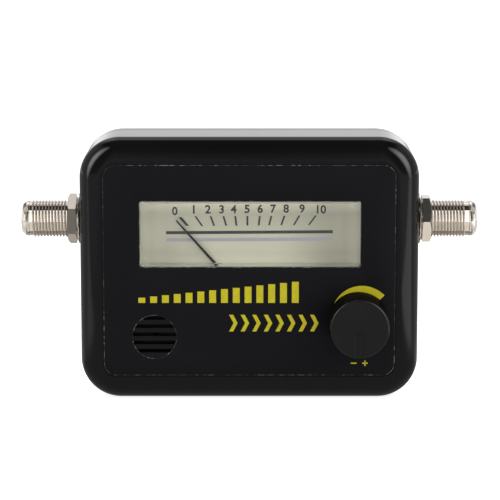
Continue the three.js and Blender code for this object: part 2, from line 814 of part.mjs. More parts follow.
function circuitBoard() {
  const half = boardWidth / 2;
  const low = boardEndMargin;
  const board = box(-half, half, boardFront, boardBack, low, low + boardHeight);
  const hole = (radius, x, z) => (
    rod(radius, boardFront - overrun, boardBack + overrun, coarse).translate(x, 0, z)
  );
  const contactX = caseWidth / 2 - contactBend;
  return cut(board, [
    ...standoffPlaces.map(([x, z]) => hole(boardScrewRadius + clearance, x, z)),
    ...terminalPlaces.map(([x, z]) => hole(terminalRadius + runningGap, x, z)),
    ...[-1, 1].map((side) => hole(contactRadius + runningGap, side * contactX, socketZ)),
    ...potLegPlaces.map(([x, z]) => hole(potLegRadius + runningGap, x, z)),
  ]);
}

// Gain control, about its own axis: made in place along Y and moved by its group.
const potLegPlaces = [-1, 0, 1].map((side) => [
  knobX + side * potLegPitch, knobZ - potRadius - potTabLength + potLegRadius + runningGap,
]);
const trackY = potFront + potLength - potWall - clearance - trackThickness;

function knobPiece() {
  const base = frontY - knobGap;
  const front = base - knobLength;
  const bore = shaftRadius + runningGap;
  const hub = bore + knobHubWall;
  const hollow = knobSkirtRadius - knobWall;
  const points = [[0, front]];
  for (let step = 0; step <= roundSteps; step += 1) {
    const angle = (step / roundSteps) * Math.PI / 2;
    const radius = knobRadius - knobRound * (1 - Math.sin(angle));
    points.push([radius, front + knobRound * (1 - Math.cos(angle))]);
  }
  const boreEnd = base - shaftGrip - clearance;
  points.push(
    [knobSkirtRadius, base], [hollow, base], [hollow, base - knobHollowDepth], [hub, base - knobHollowDepth],
    [hub, base], [bore, base], [bore, boreEnd], [0, boreEnd],
  );
  const half = knobGrooveWidth / 2;
  return cut(turned(points, fine), [
    box(-half, half, front - overrun, front + knobGrooveDepth, -knobRadius - overrun, -knobGrooveStart),
  ]);
}

function potShaft() {
  const low = frontY - knobGap - shaftGrip;
  return rod(shaftRadius, low, trackY - wiperThickness - clearance - seat, medium);
}

function potWiper() {
  const low = trackY - wiperThickness - clearance;
  const high = low + wiperThickness;
  const reach = potRadius - potWall - 2 * clearance;
  const arm = wiperArmWidth / 2;
  return join([rod(shaftRadius, low, high, coarse), box(-arm, arm, low, high, -reach, 0)]);
}

function potFrame() {
  const bore = shaftRadius + runningGap;
  return turned([
    [bore, frontY], [bushingRadius, frontY], [bushingRadius, potFront], [potRadius, potFront],
    [potRadius, potFront + potPlate], [bore, potFront + potPlate], [bore, frontY],
  ], medium);
}

function potShell() {
  const low = potFront + potPlate + seat;
  const high = potFront + potLength;
  const inner = potRadius - potWall;
  const can = turned([
    [0, high - potWall], [inner, high - potWall], [inner, low],
    [potRadius, low], [potRadius, high], [0, high],
  ], medium);
  const half = potTabWidth / 2 + clearance;
  return cut(can, [
    box(-half, half, trackY - clearance, high - potWall, -potRadius - overrun, -shaftRadius - clearance),
  ]);
}

function potTrack() {
  const outer = potRadius - potWall - clearance;
  const inner = outer / 3;
  const wafer = ring(inner, outer, trackY, trackY + trackThickness, medium);
  const half = potTabWidth / 2;
  const tab = box(-half, half, trackY, trackY + trackThickness, -potRadius - potTabLength, -inner - potWall);
  const legs = potLegPlaces.map(([x, z]) => (
    rod(potLegRadius, trackY + trackThickness / 2, boardBack + solderTail, coarse)
      .translate(x - knobX, 0, z - knobZ)
  ));
  return join([wafer, tab, ...legs]);
}

function buzzerShell() {
  const low = boardFront - seat - buzzerLength;
  const high = boardFront - seat;
  const inner = buzzerRadius - buzzerWall;
  return turned([
    [buzzerPort, low], [buzzerRadius, low], [buzzerRadius, high], [inner, high],
    [inner, low + buzzerWall], [buzzerPort, low + buzzerWall], [buzzerPort, low],
  ], medium);
}

function buzzerDisc() {
  const middle = boardFront - seat - buzzerLength / 2;
  const radius = buzzerRadius - buzzerWall - clearance;
  return rod(radius, middle, middle + buzzerDiscThickness, medium);
}

// Board parts stand on the board's back, made about their own middle with y = 0 at that face.
function chipPiece() {
  const body = box(-chipWidth / 2, chipWidth / 2, chipStandoff, chipStandoff + chipDepth,
    -chipHeight / 2, chipHeight / 2);
  const legs = [];
  for (let index = 0; index < chipLegs; index += 1) {
    const x = (index - (chipLegs - 1) / 2) * chipLegPitch;
    [-1, 1].forEach((side) => {
      const ends = [side * (chipHeight / 2 - chipLegWidth), side * (chipHeight / 2 + chipLegWidth)];
      ends.sort((a, b) => a - b);
      legs.push(box(x - chipLegWidth / 2, x + chipLegWidth / 2, seat, chipStandoff + chipDepth / 2, ...ends));
    });
  }
  return join([body, ...legs]);
}

function transistorPiece() {
  const half = transistorWidth / 2;
  const flat = half - transistorDepth;
  const points = [];
  const start = Math.asin(flat / half);
  for (let step = 0; step <= 2 * cornerSteps; step += 1) {
    const angle = start + (Math.PI - 2 * start) * (step / (2 * cornerSteps));
    points.push([half * Math.cos(angle), half * Math.sin(angle)]);
  }
  const body = plate(polygon(points), legRise, legRise + transistorHeight);
  const legs = [-1, 0, 1].map((side) => (
    rod(legRadius, seat, legRise + legRadius, coarse / 2).translate(side * legPitch, 0, 0)
  ));
  return join([body, ...legs]);
}

function capacitorPiece() {
  const radius = capacitorRadius;
  return turned([
    [0, seat], [radius - capacitorRound, seat], [radius, seat + capacitorRound],
    [radius, capacitorLength - capacitorRound], [radius - capacitorRound, capacitorLength],
    [0, capacitorLength],
  ], medium);
}

function chokePiece() {
  const waist = chokeRadius - chokeWaist;
  return turned([
    [0, seat], [chokeRadius, seat], [chokeRadius, chokeFlange], [waist, chokeFlange],
    [waist, chokeLength - chokeFlange], [chokeRadius, chokeLength - chokeFlange],
    [chokeRadius, chokeLength], [0, chokeLength],
  ], medium);
}

function resistorPiece() {
  const axis = resistorRadius + clearance;
  const half = resistorLength / 2;
  const waist = resistorRadius * 0.8;
  const body = turnedX([
    [0, -half], [resistorRadius, -half], [resistorRadius, -half / 2], [waist, -half / 3], [waist, half / 3],
    [resistorRadius, half / 2], [resistorRadius, half], [0, half],
  ], coarse).translate(0, axis, 0);
  const reach = resistorSpan / 2;
  const wire = turnedX([
    [0, -reach], [legRadius, -reach], [legRadius, reach], [0, reach],
  ], coarse / 2).translate(0, axis, 0);
  const legs = [-1, 1].map((side) => (
    rod(legRadius, seat, axis + legRadius, coarse / 2).translate(side * (reach - legRadius), 0, 0)
  ));
  return join([body, wire, ...legs]);
}

// Finishes
function finish(color, roughness, metalness, opacity = 1) {
  return { color, roughness, metalness, opacity, transparent: opacity < 1 };
}

const blackGloss = finish(0x141416, 0.28, 0);
const blackMatte = finish(0x222222, 0.6, 0);
const labelInk = finish(0x1b1b20, 0.42, 0);
const clearPlastic = finish(0xe6ebe4, 0.08, 0, 0.3);
const dialCream = finish(0xbebca5, 0.6, 0);
const nickel = finish(0xb9b2a6, 0.24, 1);
const steel = finish(0x9a9a9c, 0.35, 1);
const brass = finish(0xb08d4a, 0.35, 1);
const copper = finish(0xa65a2e, 0.4, 1);
const iron = finish(0x55565a, 0.5, 1);
const boardGreen = finish(0x1f5a36, 0.5, 0);
const whitePlastic = finish(0xe9e6dc, 0.5, 0);
const darkPlastic = finish(0x1c1c1c, 0.5, 0);
const jewelRed = finish(0xa03040, 0.2, 0);
const brownWafer = finish(0x6b4a2a, 0.7, 0);
const lampAmber = finish(0xe8d9a0, 0.2, 0);
const resistorTan = finish(0xc9ae7c, 0.5, 0);

const meter = new THREE.Group();

function add(name, geometry, look, group = meter) {
  const mesh = new THREE.Mesh(geometry, new THREE.MeshStandardMaterial(look));
  mesh.name = name;
  group.add(mesh);
  return mesh;
}

function groupAt(x, y, z) {
  const group = new THREE.Group();
  group.position.set(x, y, z);
  meter.add(group);
  return group;
}

function addCase() {
  add('front_case', frontCase(), blackGloss);
  add('rear_cover', rearCover(), blackGloss);
  add('front_overlay', frontOverlay(), labelInk);
  screwPlaces.forEach(([x, z], index) => {
    add(`case_screw_${index + 1}`, caseScrew(), steel).position.set(x, 0, z);
  });
}

function addBoard() {
  add('circuit_board', circuitBoard(), boardGreen);
  [standoffPlaces[0], standoffPlaces[2]].forEach(([x, z], index) => {
    const screw = slottedScrew(
      boardScrewRadius, boardThickness + boardScrewLength - clearance,
      boardScrewHeadRadius, boardScrewHeadThickness,
    );
    const mesh = add(`board_screw_${index + 1}`, screw, steel);
    mesh.rotation.z = Math.PI;
    mesh.position.set(x, boardBack + seat, z);
  });
  const onBoard = ([shareX, shareZ]) => groupAt(
    boardWidth * (shareX - 0.5), boardBack, boardEndMargin + boardHeight * shareZ,
  );
  add('integrated_circuit', chipPiece(), darkPlastic, onBoard(chipPlaceShares));
  add('transistor', transistorPiece(), darkPlastic, onBoard(transistorPlaceShares));
  capacitorPlaceShares.forEach((shares, index) => {
    add(`capacitor_${index + 1}`, capacitorPiece(), blackGloss, onBoard(shares));
  });
  add('choke', chokePiece(), copper, onBoard(chokePlaceShares));
  add('resistor_1', resistorPiece(), resistorTan, onBoard(resistorPlaceShares));
}

function addMeter() {
  add('meter_cover', meterCover(), clearPlastic);
  add('meter_base', meterBase(), darkPlastic);
  add('dial_plate', dialPlate(), dialCream);
  ['left', 'right'].forEach((side, index) => {
    const [lampX, lampZ] = lampPlaces[index];
    add(`meter_lamp_${side}`, lampPiece(), lampAmber).position.set(lampX, 0, lampZ);
    const [terminalX, terminalZ] = terminalPlaces[index];
    add(`meter_terminal_${side}`, terminalPiece(), brass).position.set(terminalX, 0, terminalZ);
    const [dialX, dialZ] = dialScrewPlaces[index];
    const dialScrew = slottedScrew(smallScrewRadius, smallScrewLength, smallHeadRadius, smallHeadThickness);
    add(`dial_screw_${side}`, dialScrew, brass).position.set(dialX, dialFrontY - seat, dialZ);
    const [bridgeX, bridgeZ] = bridgeScrewPlaces[index];
    add(`bridge_screw_${side}`, dialScrew.clone(), brass).position.set(bridgeX, bridgeY - seat, bridgeZ);
  });
}

function addMovement() {
  const still = groupAt(pivotX, 0, pivotZ);
  const ringFront = meterFloorY - seat - ringLength;
  add('pole_ring', ring(ringInnerRadius, ringOuterRadius, ringFront, meterFloorY - seat, fine), iron, still);
  const coreFront = coilFrontY + coilWire + clearance;
  add('core_magnet', rod(coreRadius, coreFront, coreFront + coreLength, medium), iron, still);
  const spacerLow = coreRadius + runningGap;
  const spacerHigh = ringInnerRadius - runningGap;
  const half = spacerWidth / 2;
  const spacer = box(-half, half, coreFront, coreFront + coreLength, spacerLow, spacerHigh);
  add('core_spacer_upper', spacer, brass, still);
  add('core_spacer_lower', spacer.clone().rotateY(Math.PI), brass, still);
  add('hairspring', hairspringPiece(), brass, still).position.y = springY;
  add('bridge', bridgePiece(), brass, still).position.y = bridgeY;
  const frontBush = ring(pivotRadius + runningGap, jewelRadius, 0, bridgeThickness, coarse);
  add('jewel_front', frontBush, jewelRed, still).position.y = bridgeY;
  add('jewel_rear', jewelRear(), jewelRed, still);

  const swinging = groupAt(pivotX, 0, pivotZ);
  swinging.rotation.y = -THREE.MathUtils.degToRad(needleRestAngle);
  add('needle', needlePiece(), blackMatte, swinging).position.y = needleY;
  const weight = add('needle_weight', needleWeight(), brass, swinging);
  weight.position.set(0, needleY, -needleTail + weightRadius);
  add('pivot_front', pivotFront(), steel, swinging).position.y = needleY;
  add('moving_coil', coilPiece(), copper, swinging).position.y = coilFrontY;
  add('pivot_rear', pivotRear(), steel, swinging).position.y = coilBackY;
}

function addSocket(side) {
  const left = side === 'left';
  const socket = groupAt(left ? -caseWidth / 2 : caseWidth / 2, 0, socketZ);
  const mirror = (geometry) => {
    if (!left) return geometry;
    const solid = solidOf(geometry).mirror([1, 0, 0]);
    return geometryOf(solid);
  };
  add(`connector_body_${side}`, mirror(socketBody()), nickel, socket);
  add(`connector_insulator_${side}`, mirror(socketInsulator()), whitePlastic, socket);
  add(`connector_contact_${side}`, mirror(socketContact()), brass, socket);
  add(`connector_washer_${side}`, mirror(socketWasher()), steel, socket);
  add(`connector_nut_${side}`, mirror(socketNut(nutTurns[side])), nickel, socket);
}

function addControl() {
  const control = groupAt(knobX, 0, knobZ);
  add('gain_knob', knobPiece(), blackMatte, control);
  add('pot_shaft', potShaft(), whitePlastic, control);
  add('pot_wiper', potWiper(), brass, control);
  add('pot_frame', potFrame(), steel, control);
  add('pot_shell', potShell(), steel, control);
  add('pot_track', potTrack(), brownWafer, control);
}

function addSounder() {
  const sounder = groupAt(buzzerX, 0, buzzerZ);
  add('buzzer_shell', buzzerShell(), darkPlastic, sounder);
  add('buzzer_disc', buzzerDisc(), brass, sounder);
}

addCase();
addBoard();
addMeter();
addMovement();
['left', 'right'].forEach(addSocket);
addControl();
addSounder();

export default meter;
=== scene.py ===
"""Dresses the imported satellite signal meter: shells, label and print, window, dial, knob, sockets
and the stage round them. Lengths are in metres. X runs right, Y away from the viewer, Z up."""
import json
import math

import bmesh
import bpy
from bpy.props import FloatProperty, FloatVectorProperty, IntProperty, PointerProperty
from mathutils import Matrix, Vector

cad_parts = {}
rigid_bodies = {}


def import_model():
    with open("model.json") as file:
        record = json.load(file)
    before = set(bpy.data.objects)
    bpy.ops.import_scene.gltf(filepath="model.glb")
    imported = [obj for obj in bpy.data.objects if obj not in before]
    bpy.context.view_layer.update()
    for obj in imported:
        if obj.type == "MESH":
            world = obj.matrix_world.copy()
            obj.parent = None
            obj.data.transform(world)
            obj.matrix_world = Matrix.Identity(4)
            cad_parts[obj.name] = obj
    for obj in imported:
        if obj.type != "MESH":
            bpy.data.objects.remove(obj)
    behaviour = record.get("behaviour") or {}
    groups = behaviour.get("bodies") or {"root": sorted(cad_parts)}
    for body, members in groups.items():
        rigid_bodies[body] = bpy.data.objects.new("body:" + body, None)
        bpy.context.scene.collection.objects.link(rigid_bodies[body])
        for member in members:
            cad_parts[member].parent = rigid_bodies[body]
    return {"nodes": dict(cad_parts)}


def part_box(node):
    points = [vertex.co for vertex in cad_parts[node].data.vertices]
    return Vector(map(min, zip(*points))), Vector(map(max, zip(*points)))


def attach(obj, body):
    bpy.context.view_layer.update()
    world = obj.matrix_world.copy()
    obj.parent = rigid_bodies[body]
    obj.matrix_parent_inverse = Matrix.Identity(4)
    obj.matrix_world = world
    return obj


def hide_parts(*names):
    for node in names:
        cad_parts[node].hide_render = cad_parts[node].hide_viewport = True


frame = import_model()

bl_info = {
    "name": "Signal Meter Dressing",
    "version": (1, 0, 0),
    "blender": (4, 5, 0),
    "location": "3D View > Sidebar > Meter",
    "description": "Models the visible pieces of a satellite signal meter round its packed frame",
    "category": "Object",
}

MM = 0.001
TINY = 1e-7
RIGHT, BACK, UP = Vector((1, 0, 0)), Vector((0, 1, 0)), Vector((0, 0, 1))
SIDES = {"left": -1, "right": 1}

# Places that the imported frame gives
CASE_LOW, CASE_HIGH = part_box("front_case")
COVER_LOW, COVER_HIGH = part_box("rear_cover")
LABEL_LOW, LABEL_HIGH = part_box("front_overlay")
METER_LOW, METER_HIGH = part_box("meter_cover")
DIAL_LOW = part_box("dial_plate")[0]
KNOB_LOW, KNOB_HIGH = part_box("gain_knob")
SOUNDER_LOW, SOUNDER_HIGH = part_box("buzzer_shell")
WASHER_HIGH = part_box("connector_washer_right")[1]
BODY_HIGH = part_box("connector_body_right")[1]
SCREW_BOXES = [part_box(f"case_screw_{index}") for index in (1, 2, 3, 4)]
BOARD_SCREW_BOXES = [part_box(f"board_screw_{index}") for index in (1, 2)]


def middle(corners):
    return (corners[0] + corners[1]) / 2


KNOB = middle((KNOB_LOW, KNOB_HIGH))
SOUNDER = middle((SOUNDER_LOW, SOUNDER_HIGH))
SOCKET_Z = middle(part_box("connector_washer_right")).z
SOCKET_AXIS = Vector((0, 0, SOCKET_Z))
PIVOT = middle(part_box("pole_ring"))
PARTING_Y = CASE_HIGH.y


def fields(**given):
    """Properties from (value, description): a colour, a count of facets, or a size in millimetres."""
    made = {}
    for key, (value, about) in given.items():
        common = {"name": key.replace("_", " ").capitalize(), "description": about, "min": 0}
        if isinstance(value, tuple):
            made[key] = FloatVectorProperty(**common, default=value, size=3, max=1, subtype="COLOR")
        elif key == "steps":
            made[key] = IntProperty(**common | {"min": 3}, default=value, max=256)
        else:
            made[key] = FloatProperty(**common, default=value * MM, subtype="DISTANCE", unit="LENGTH",
                                      precision=5)
    return made


class MeterCase(bpy.types.PropertyGroup):
    __annotations__ = fields(
        corner=(10, "Radius of the case's corners as seen from the front"),
        front_round=(5.5, "Rounding of the front rim"),
        rear_round=(2, "Rounding of the rear rim"),
        side_wall=(2.2, "Thickness of the side walls"),
        front_wall=(2.2, "Thickness of the front wall"),
        rear_wall=(2, "Thickness of the rear wall"),
        seam=(0.22, "Width of the chamfer on each side of the parting line"),
        lip=(1.2, "Thickness of the lip inside the parting line"),
        clearance=(0.3, "Gap between pieces that are fitted by hand"),
        post=(2.8, "Radius of the posts that take the case screws"),
        pilot=(1.7, "Radius of the hole for a case screw"),
        standoff=(2.2, "Radius of the posts that carry the board"),
        edge=(0.12, "Width of the small rounding on sharp edges"),
        steps=(18, "Facets across one corner of the case"),
        colour=((0.0036, 0.0036, 0.0037), "Colour of the moulded case"))


class MeterLabel(bpy.types.PropertyGroup):
    __annotations__ = fields(
        gap=(0.3, "Gap between the label and the recess round it"),
        seat=(0.02, "Glue line under the label"),
        corner=(3.0, "Radius of the label's corners"),
        # The cut edge also carries painted glints besides the film's pale core
        edge=(0.1, "Width of the label's worn cut edge"),
        window_width=(54.4, "Width of the opening for the meter"),
        window_height=(16.4, "Height of the opening for the meter"),
        window_head=(3.4, "How far the meter's case stands above its window"),
        window_corner=(0.6, "Radius of the window's corners"),
        shaft_hole=(4.3, "Radius of the hole for the control's bushing"),
        grille=(5.42, "Radius of the label's hole over the sounder's slots"),
        slot=(0.9, "Height of one sound slot"),
        slot_pitch=(2.069, "Distance from one sound slot to the next"),
        slot_rise=(0.6, "How far the row of slots stands above the hole's centre"),
        print_depth=(0.03, "Thickness of the printed ink"),
        film=((0.0060, 0.0060, 0.0082), "Colour of the label film"),
        ink=((0.525, 0.46, 0.014), "Colour of the label's print"))


class MeterDial(bpy.types.PropertyGroup):
    __annotations__ = fields(
        tick=(0.48, "Width of one mark of the scale"),
        end_tick=(0.85, "Width of the mark at zero"),
        digit=(2.1, "Height of the scale's numbers"),
        line=(0.76, "Width of the scale's upper line"),
        needle_root=(1.0, "Width of the needle at its pivot"),
        needle_tip=(0.36, "Width of the needle at its tip"),
        plate=((0.595, 0.58, 0.46), "Colour of the dial plate"),
        ink=((0.056, 0.052, 0.055), "Colour of the scale's print"),
        shade=((0.46, 0.445, 0.51), "Colour of the scale's pale lower line"))


class MeterKnob(bpy.types.PropertyGroup):
    __annotations__ = fields(
        radius=(7.25, "Radius at the knob's front"),
        skirt=(7.5, "Radius at the knob's base"),
        round=(0.6, "Rounding of the knob's front rim"),
        wall=(1.1, "Thickness of the knob's skirt"),
        bore=(3.1, "Radius of the shaft's bore"),
        groove=(2.5, "Width of the pointer groove's mouth"),
        groove_floor=(2.0, "Width of the pointer groove's floor"),
        groove_depth=(0.17, "Depth of the pointer groove"),
        rib=(0.5, "Width of the rib in the pointer groove"),
        groove_start=(1.0, "Distance from the knob's centre to the groove"),
        steps=(128, "Facets round the knob"),
        colour=((0.0092, 0.0092, 0.0093), "Colour of the moulded knob"))


class MeterSocket(bpy.types.PropertyGroup):
    __annotations__ = fields(
        crest=(4.7, "Radius over the thread's crests"),
        root=(4.26, "Radius at the thread's roots"),
        pitch=(0.794, "Distance from one thread to the next"),
        nose=(4.4, "Radius of the plain nose"),
        nose_length=(2.0, "Length of the plain nose"),
        nose_round=(1.5, "How far the nose's rounding draws in"),
        nose_bow=(1.9, "Length of the nose's rounding along the socket"),
        bore=(2.4, "Radius of the insulator's bore"),
        flange=(6.5, "Radius of the flange inside the case"),
        flats=(11, "Distance across the nut's flats"),
        hole=(4.81, "Radius of the holes in the nuts and the washers"),
        chamfer=(0.7, "Chamfer of the nut's outer face"),
        washer=(0.32, "Thickness of one washer"),
        steps=(64, "Facets round a socket"),
        colour=((0.66, 0.61, 0.55), "Colour of the plated sockets"))


class MeterStage(bpy.types.PropertyGroup):
    __annotations__ = fields(
        box_width=(280, "Width of each soft box"),
        box_height=(740, "Height of each soft box"),
        box_reach=(500, "Distance from the case's corner to a soft box"),
        floor=((0.8, 0.8, 0.8), "Colour of the pale floor"))
    box_power: FloatProperty(name="Soft box power", description="Power of each soft box in watts",
                             default=1.0, min=0, unit="POWER")
    box_shine: FloatProperty(name="Soft box shine", description="Level of one of a soft box's nested ovals",
                             default=0.95, min=0)
    room: FloatProperty(name="Room light", description="Level of the soft light from all round",
                        default=0.88, min=0)


# Handling of objects, as by hand

def leave_edit():
    bpy.ops.object.mode_set(mode="OBJECT")


def drop_picks():
    if bpy.context.mode != "OBJECT":
        leave_edit()
    bpy.ops.object.select_all(action="DESELECT")


def take(*objects):
    """Pick these objects alone, the first one active."""
    drop_picks()
    for obj in objects:
        obj.select_set(True)
    bpy.context.view_layer.objects.active = objects[0]


def settle():
    """Set the object's place, turn and size into its mesh."""
    bpy.ops.object.transform_apply(location=True, rotation=True, scale=True)


def named(name):
    obj = bpy.context.object
    obj.name = name
    obj.data.name = name
    settle()
    return obj


def block(name, low, high):
    drop_picks()
    low, high = Vector(low), Vector(high)
    bpy.ops.mesh.primitive_cube_add(size=1, location=(low + high) / 2, scale=high - low)
    return named(name)


def rod(name, centre, radius, low, high, facets, axis=BACK):
    """A cylinder along an axis through a centre, from low to high along that axis."""
    drop_picks()
    centre = Vector(centre)
    flat = centre - axis * centre.dot(axis)
    turn = UP.rotation_difference(axis).to_euler()
    bpy.ops.mesh.primitive_cylinder_add(vertices=facets, radius=radius, depth=high - low,
                                        location=flat + axis * (low + high) / 2, rotation=turn)
    return named(name)


def screw_rods(name, radius, low, high, facets):
    """A rod on the axis of each case screw, joined."""
    return joined(name, [rod(name, middle(corners), radius, low, high, facets) for corners in SCREW_BOXES])


def pick(obj, kind, test):
    """Enter edit mode with only the vertices, edges or faces that pass a test."""
    take(obj)
    bpy.ops.object.mode_set(mode="EDIT")
    bpy.ops.mesh.select_mode(type=kind)
    bpy.ops.mesh.select_all(action="DESELECT")
    mesh = bmesh.from_edit_mesh(obj.data)
    for item in {"VERT": mesh.verts, "EDGE": mesh.edges, "FACE": mesh.faces}[kind]:
        if test(item):
            item.select_set(True)
    bmesh.update_edit_mesh(obj.data)


def at_depth(y):
    return lambda item: all(abs(corner.co.y - y) < TINY for corner in item.verts)


def runs_back(edge):
    a, b = edge.verts
    return abs(a.co.x - b.co.x) < TINY and abs(a.co.z - b.co.z) < TINY


def round_edges(obj, test, offset, segments):
    pick(obj, "EDGE", test)
    bpy.ops.mesh.bevel(offset=offset, segments=segments, affect="EDGES", offset_type="OFFSET",
                       profile=0.5)
    leave_edit()


def rounded_block(name, low, high, corner, segments, rims=()):
    """A block with round corners as seen from the front; each rim is a depth, a radius and steps."""
    obj = block(name, low, high)
    round_edges(obj, runs_back, corner, segments)
    for y, radius, facets in rims:
        round_edges(obj, at_depth(y), radius, facets)
    return obj


def closed(obj):
    """Merge what a spin or a fill left double, and turn every face outwards."""
    pick(obj, "VERT", lambda vertex: True)
    bpy.ops.mesh.remove_doubles(threshold=TINY)
    bpy.ops.mesh.normals_make_consistent(inside=False)
    leave_edit()
    return obj


def pen(name, places):
    """Draw a line from place to place, a vertex at a time, and stay in edit mode."""
    drop_picks()
    bpy.ops.mesh.primitive_plane_add(size=MM, location=places[0])
    obj = named(name)
    bpy.ops.object.mode_set(mode="EDIT")
    bpy.ops.mesh.select_mode(type="VERT")
    bpy.ops.mesh.select_all(action="SELECT")
    bpy.ops.mesh.merge(type="CENTER")
    for before, after in zip(places, places[1:]):
        bpy.ops.mesh.extrude_vertices_move(TRANSFORM_OT_translate={"value": after - before})
    bpy.ops.mesh.select_all(action="SELECT")
    return obj


def quarter(count, first=0):
    """The angles of a quarter turn in equal steps."""
    return [step / count * math.pi / 2 for step in range(first, count + 1)]


def turned(name, points, centre, axis, facets):
    """Spin a profile of (reach, place along the axis) round the axis; a closed profile makes a ring."""
    centre = Vector(centre)
    flat = centre - axis * centre.dot(axis)
    obj = pen(name, [flat + UP * reach + axis * along for reach, along in points])
    bpy.ops.mesh.spin(steps=facets, angle=math.tau, center=flat, axis=axis)
    return closed(obj)


def socket_turned(name, points, facets, sign=1):
    """Turn a socket's piece; its points run outwards to the right, or to the left where sign is -1."""
    return turned(name, [(reach, along * sign) for reach, along in points], SOCKET_AXIS, RIGHT, facets)


def socket_rod(name, radius, start, end, facets, sign):
    low, high = sorted((start * sign, end * sign))
    return rod(name, SOCKET_AXIS, radius, low, high, facets, RIGHT)


def socket_ends(name):
    """How far from the middle a socket's piece begins and ends."""
    return sorted(abs(corner.x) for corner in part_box(name))


def swung(obj, angle, axis):
    """Turn a socket's piece about an axis through the middle of the sockets."""
    take(obj)
    bpy.ops.transform.rotate(value=angle, orient_axis=axis, center_override=SOCKET_AXIS)
    settle()


def filled(move):
    """Fill the line that was just drawn and push it along."""
    bpy.ops.mesh.edge_face_add()
    bpy.ops.mesh.extrude_region_move(TRANSFORM_OT_translate={"value": move})


def drawn(name, outline, low, high):
    """A flat shape from its outline in X and Z, pushed back from low to high."""
    obj = pen(name, [Vector((x, low, z)) for x, z in outline])
    filled(BACK * (high - low))
    return closed(obj)


def joined(name, objects):
    take(*objects)
    if len(objects) > 1:
        bpy.ops.object.join()
    obj = bpy.context.object
    obj.name = name
    obj.data.name = name
    return obj


def copied(obj, name, move):
    take(obj)
    bpy.ops.object.duplicate(linked=False)
    bpy.ops.transform.translate(value=move)
    return named(name)


def shape_with(obj, kind, **values):
    """Add one modifier, set it and apply it."""
    take(obj)
    bpy.ops.object.modifier_add(type=kind)
    change = obj.modifiers[-1]
    for key, value in values.items():
        setattr(change, key, value)
    bpy.ops.object.modifier_apply(modifier=change.name)
    return obj


def combine(obj, operation, *tools):
    """Cut away, add or keep the overlap with tools, one by one, and drop the tools."""
    for tool in tools:
        shape_with(obj, "BOOLEAN", operation=operation, object=tool, solver="EXACT")
        bpy.data.objects.remove(tool)
    return obj


def smooth(obj, angle):
    take(obj)
    bpy.ops.object.shade_smooth_by_angle(angle=math.radians(angle))


def soften(obj, width, segments=2, angle=40):
    """Round the sharp edges a little and shade the rest smooth."""
    shape_with(obj, "BEVEL", width=width, segments=segments, limit_method="ANGLE",
               angle_limit=math.radians(angle), use_clamp_overlap=True)
    take(obj)
    bpy.ops.object.shade_smooth_by_angle(angle=math.radians(35), keep_sharp_edges=False)
    shape_with(obj, "WEIGHTED_NORMAL", keep_sharp=True)


def paint_faces(obj, finish, test):
    """Give some faces a second finish."""
    obj.data.materials.append(finishes[finish])
    pick(obj, "FACE", test)
    obj.active_material_index = len(obj.data.materials) - 1
    bpy.ops.object.material_slot_assign()
    leave_edit()


def hand_over(obj, finish, slot, *nodes, body="root"):
    """Dress a finished piece, and give it to the body that it moves with."""
    if obj.data.materials:
        obj.data.materials[0] = finishes[finish]
    else:
        obj.data.materials.append(finishes[finish])
    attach(obj, body)
    if nodes:
        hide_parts(*nodes)
    return obj


# Materials

def plug(tree, socket, value):
    """Link a socket, or set its value."""
    if isinstance(value, bpy.types.NodeSocket):
        tree.links.new(value, socket)
    else:
        socket.default_value = value


def node(tree, kind, inputs=(), **settings):
    made = tree.nodes.new("ShaderNode" + kind)
    for key, value in settings.items():
        setattr(made, key, value)
    for key, value in dict(inputs).items():
        plug(tree, made.inputs[key], value)
    return made


def sums(tree, operation, first, second=0.0, third=0.0, clamp=False):
    return node(tree, "Math", {0: first, 1: second, 2: third}, operation=operation,
                use_clamp=clamp).outputs[0]


def times(tree, product, *factors):
    for factor in factors:
        product = sums(tree, "MULTIPLY", product, factor)
    return product


def ramp(tree, value, low, high, from_low=0.0, from_high=1.0):
    """Map a value between two limits to another range, with soft ends."""
    return node(tree, "MapRange", {"Value": value, "From Min": from_low, "From Max": from_high,
                                   "To Min": low, "To Max": high},
                interpolation_type="SMOOTHSTEP").outputs["Result"]


def span(tree, value, start, end, low=0.0, high=1.0):
    """Go from low to high between two places in millimetres."""
    return ramp(tree, value, low, high, start * MM, end * MM)


def blend(tree, share, first, second):
    made = node(tree, "Mix", data_type="RGBA")
    for index, value in ((0, share), (6, first), (7, second)):
        plug(tree, made.inputs[index], value)
    return made.outputs[2]


def choose(tree, share, first, second):
    """One shader where the share is 0, and the other where it is 1."""
    return node(tree, "MixShader", {0: share, 1: first, 2: second}).outputs[0]


def scaled(tree, colour, level):
    return node(tree, "VectorMath", {0: colour, "Scale": level}, operation="SCALE").outputs[0]


def noise(tree, place, scale, detail, **more):
    return node(tree, "TexNoise", {"Vector": place, "Scale": scale, "Detail": detail, **more}).outputs[0]


def rgba(colour, share=1.0):
    return (*[channel * share for channel in colour], 1.0)


def grey(level):
    return (level, level, level, 1.0)


def object_place(tree):
    return node(tree, "TexCoord").outputs["Object"]


def effect(name, inputs, outputs):
    """Start a node group: inputs are (name, kind, value), outputs are (name, kind)."""
    tree = bpy.data.node_groups.new(name, "ShaderNodeTree")
    for label, kind, value in inputs:
        socket = tree.interface.new_socket(label, in_out="INPUT", socket_type="NodeSocket" + kind)
        socket.default_value = value
    for label, kind in outputs:
        tree.interface.new_socket(label, in_out="OUTPUT", socket_type="NodeSocket" + kind)
    return tree, tree.nodes.new("NodeGroupInput").outputs, tree.nodes.new("NodeGroupOutput").inputs


def send(tree, outputs, **sockets):
    for label, socket in sockets.items():
        tree.links.new(socket, outputs[label])


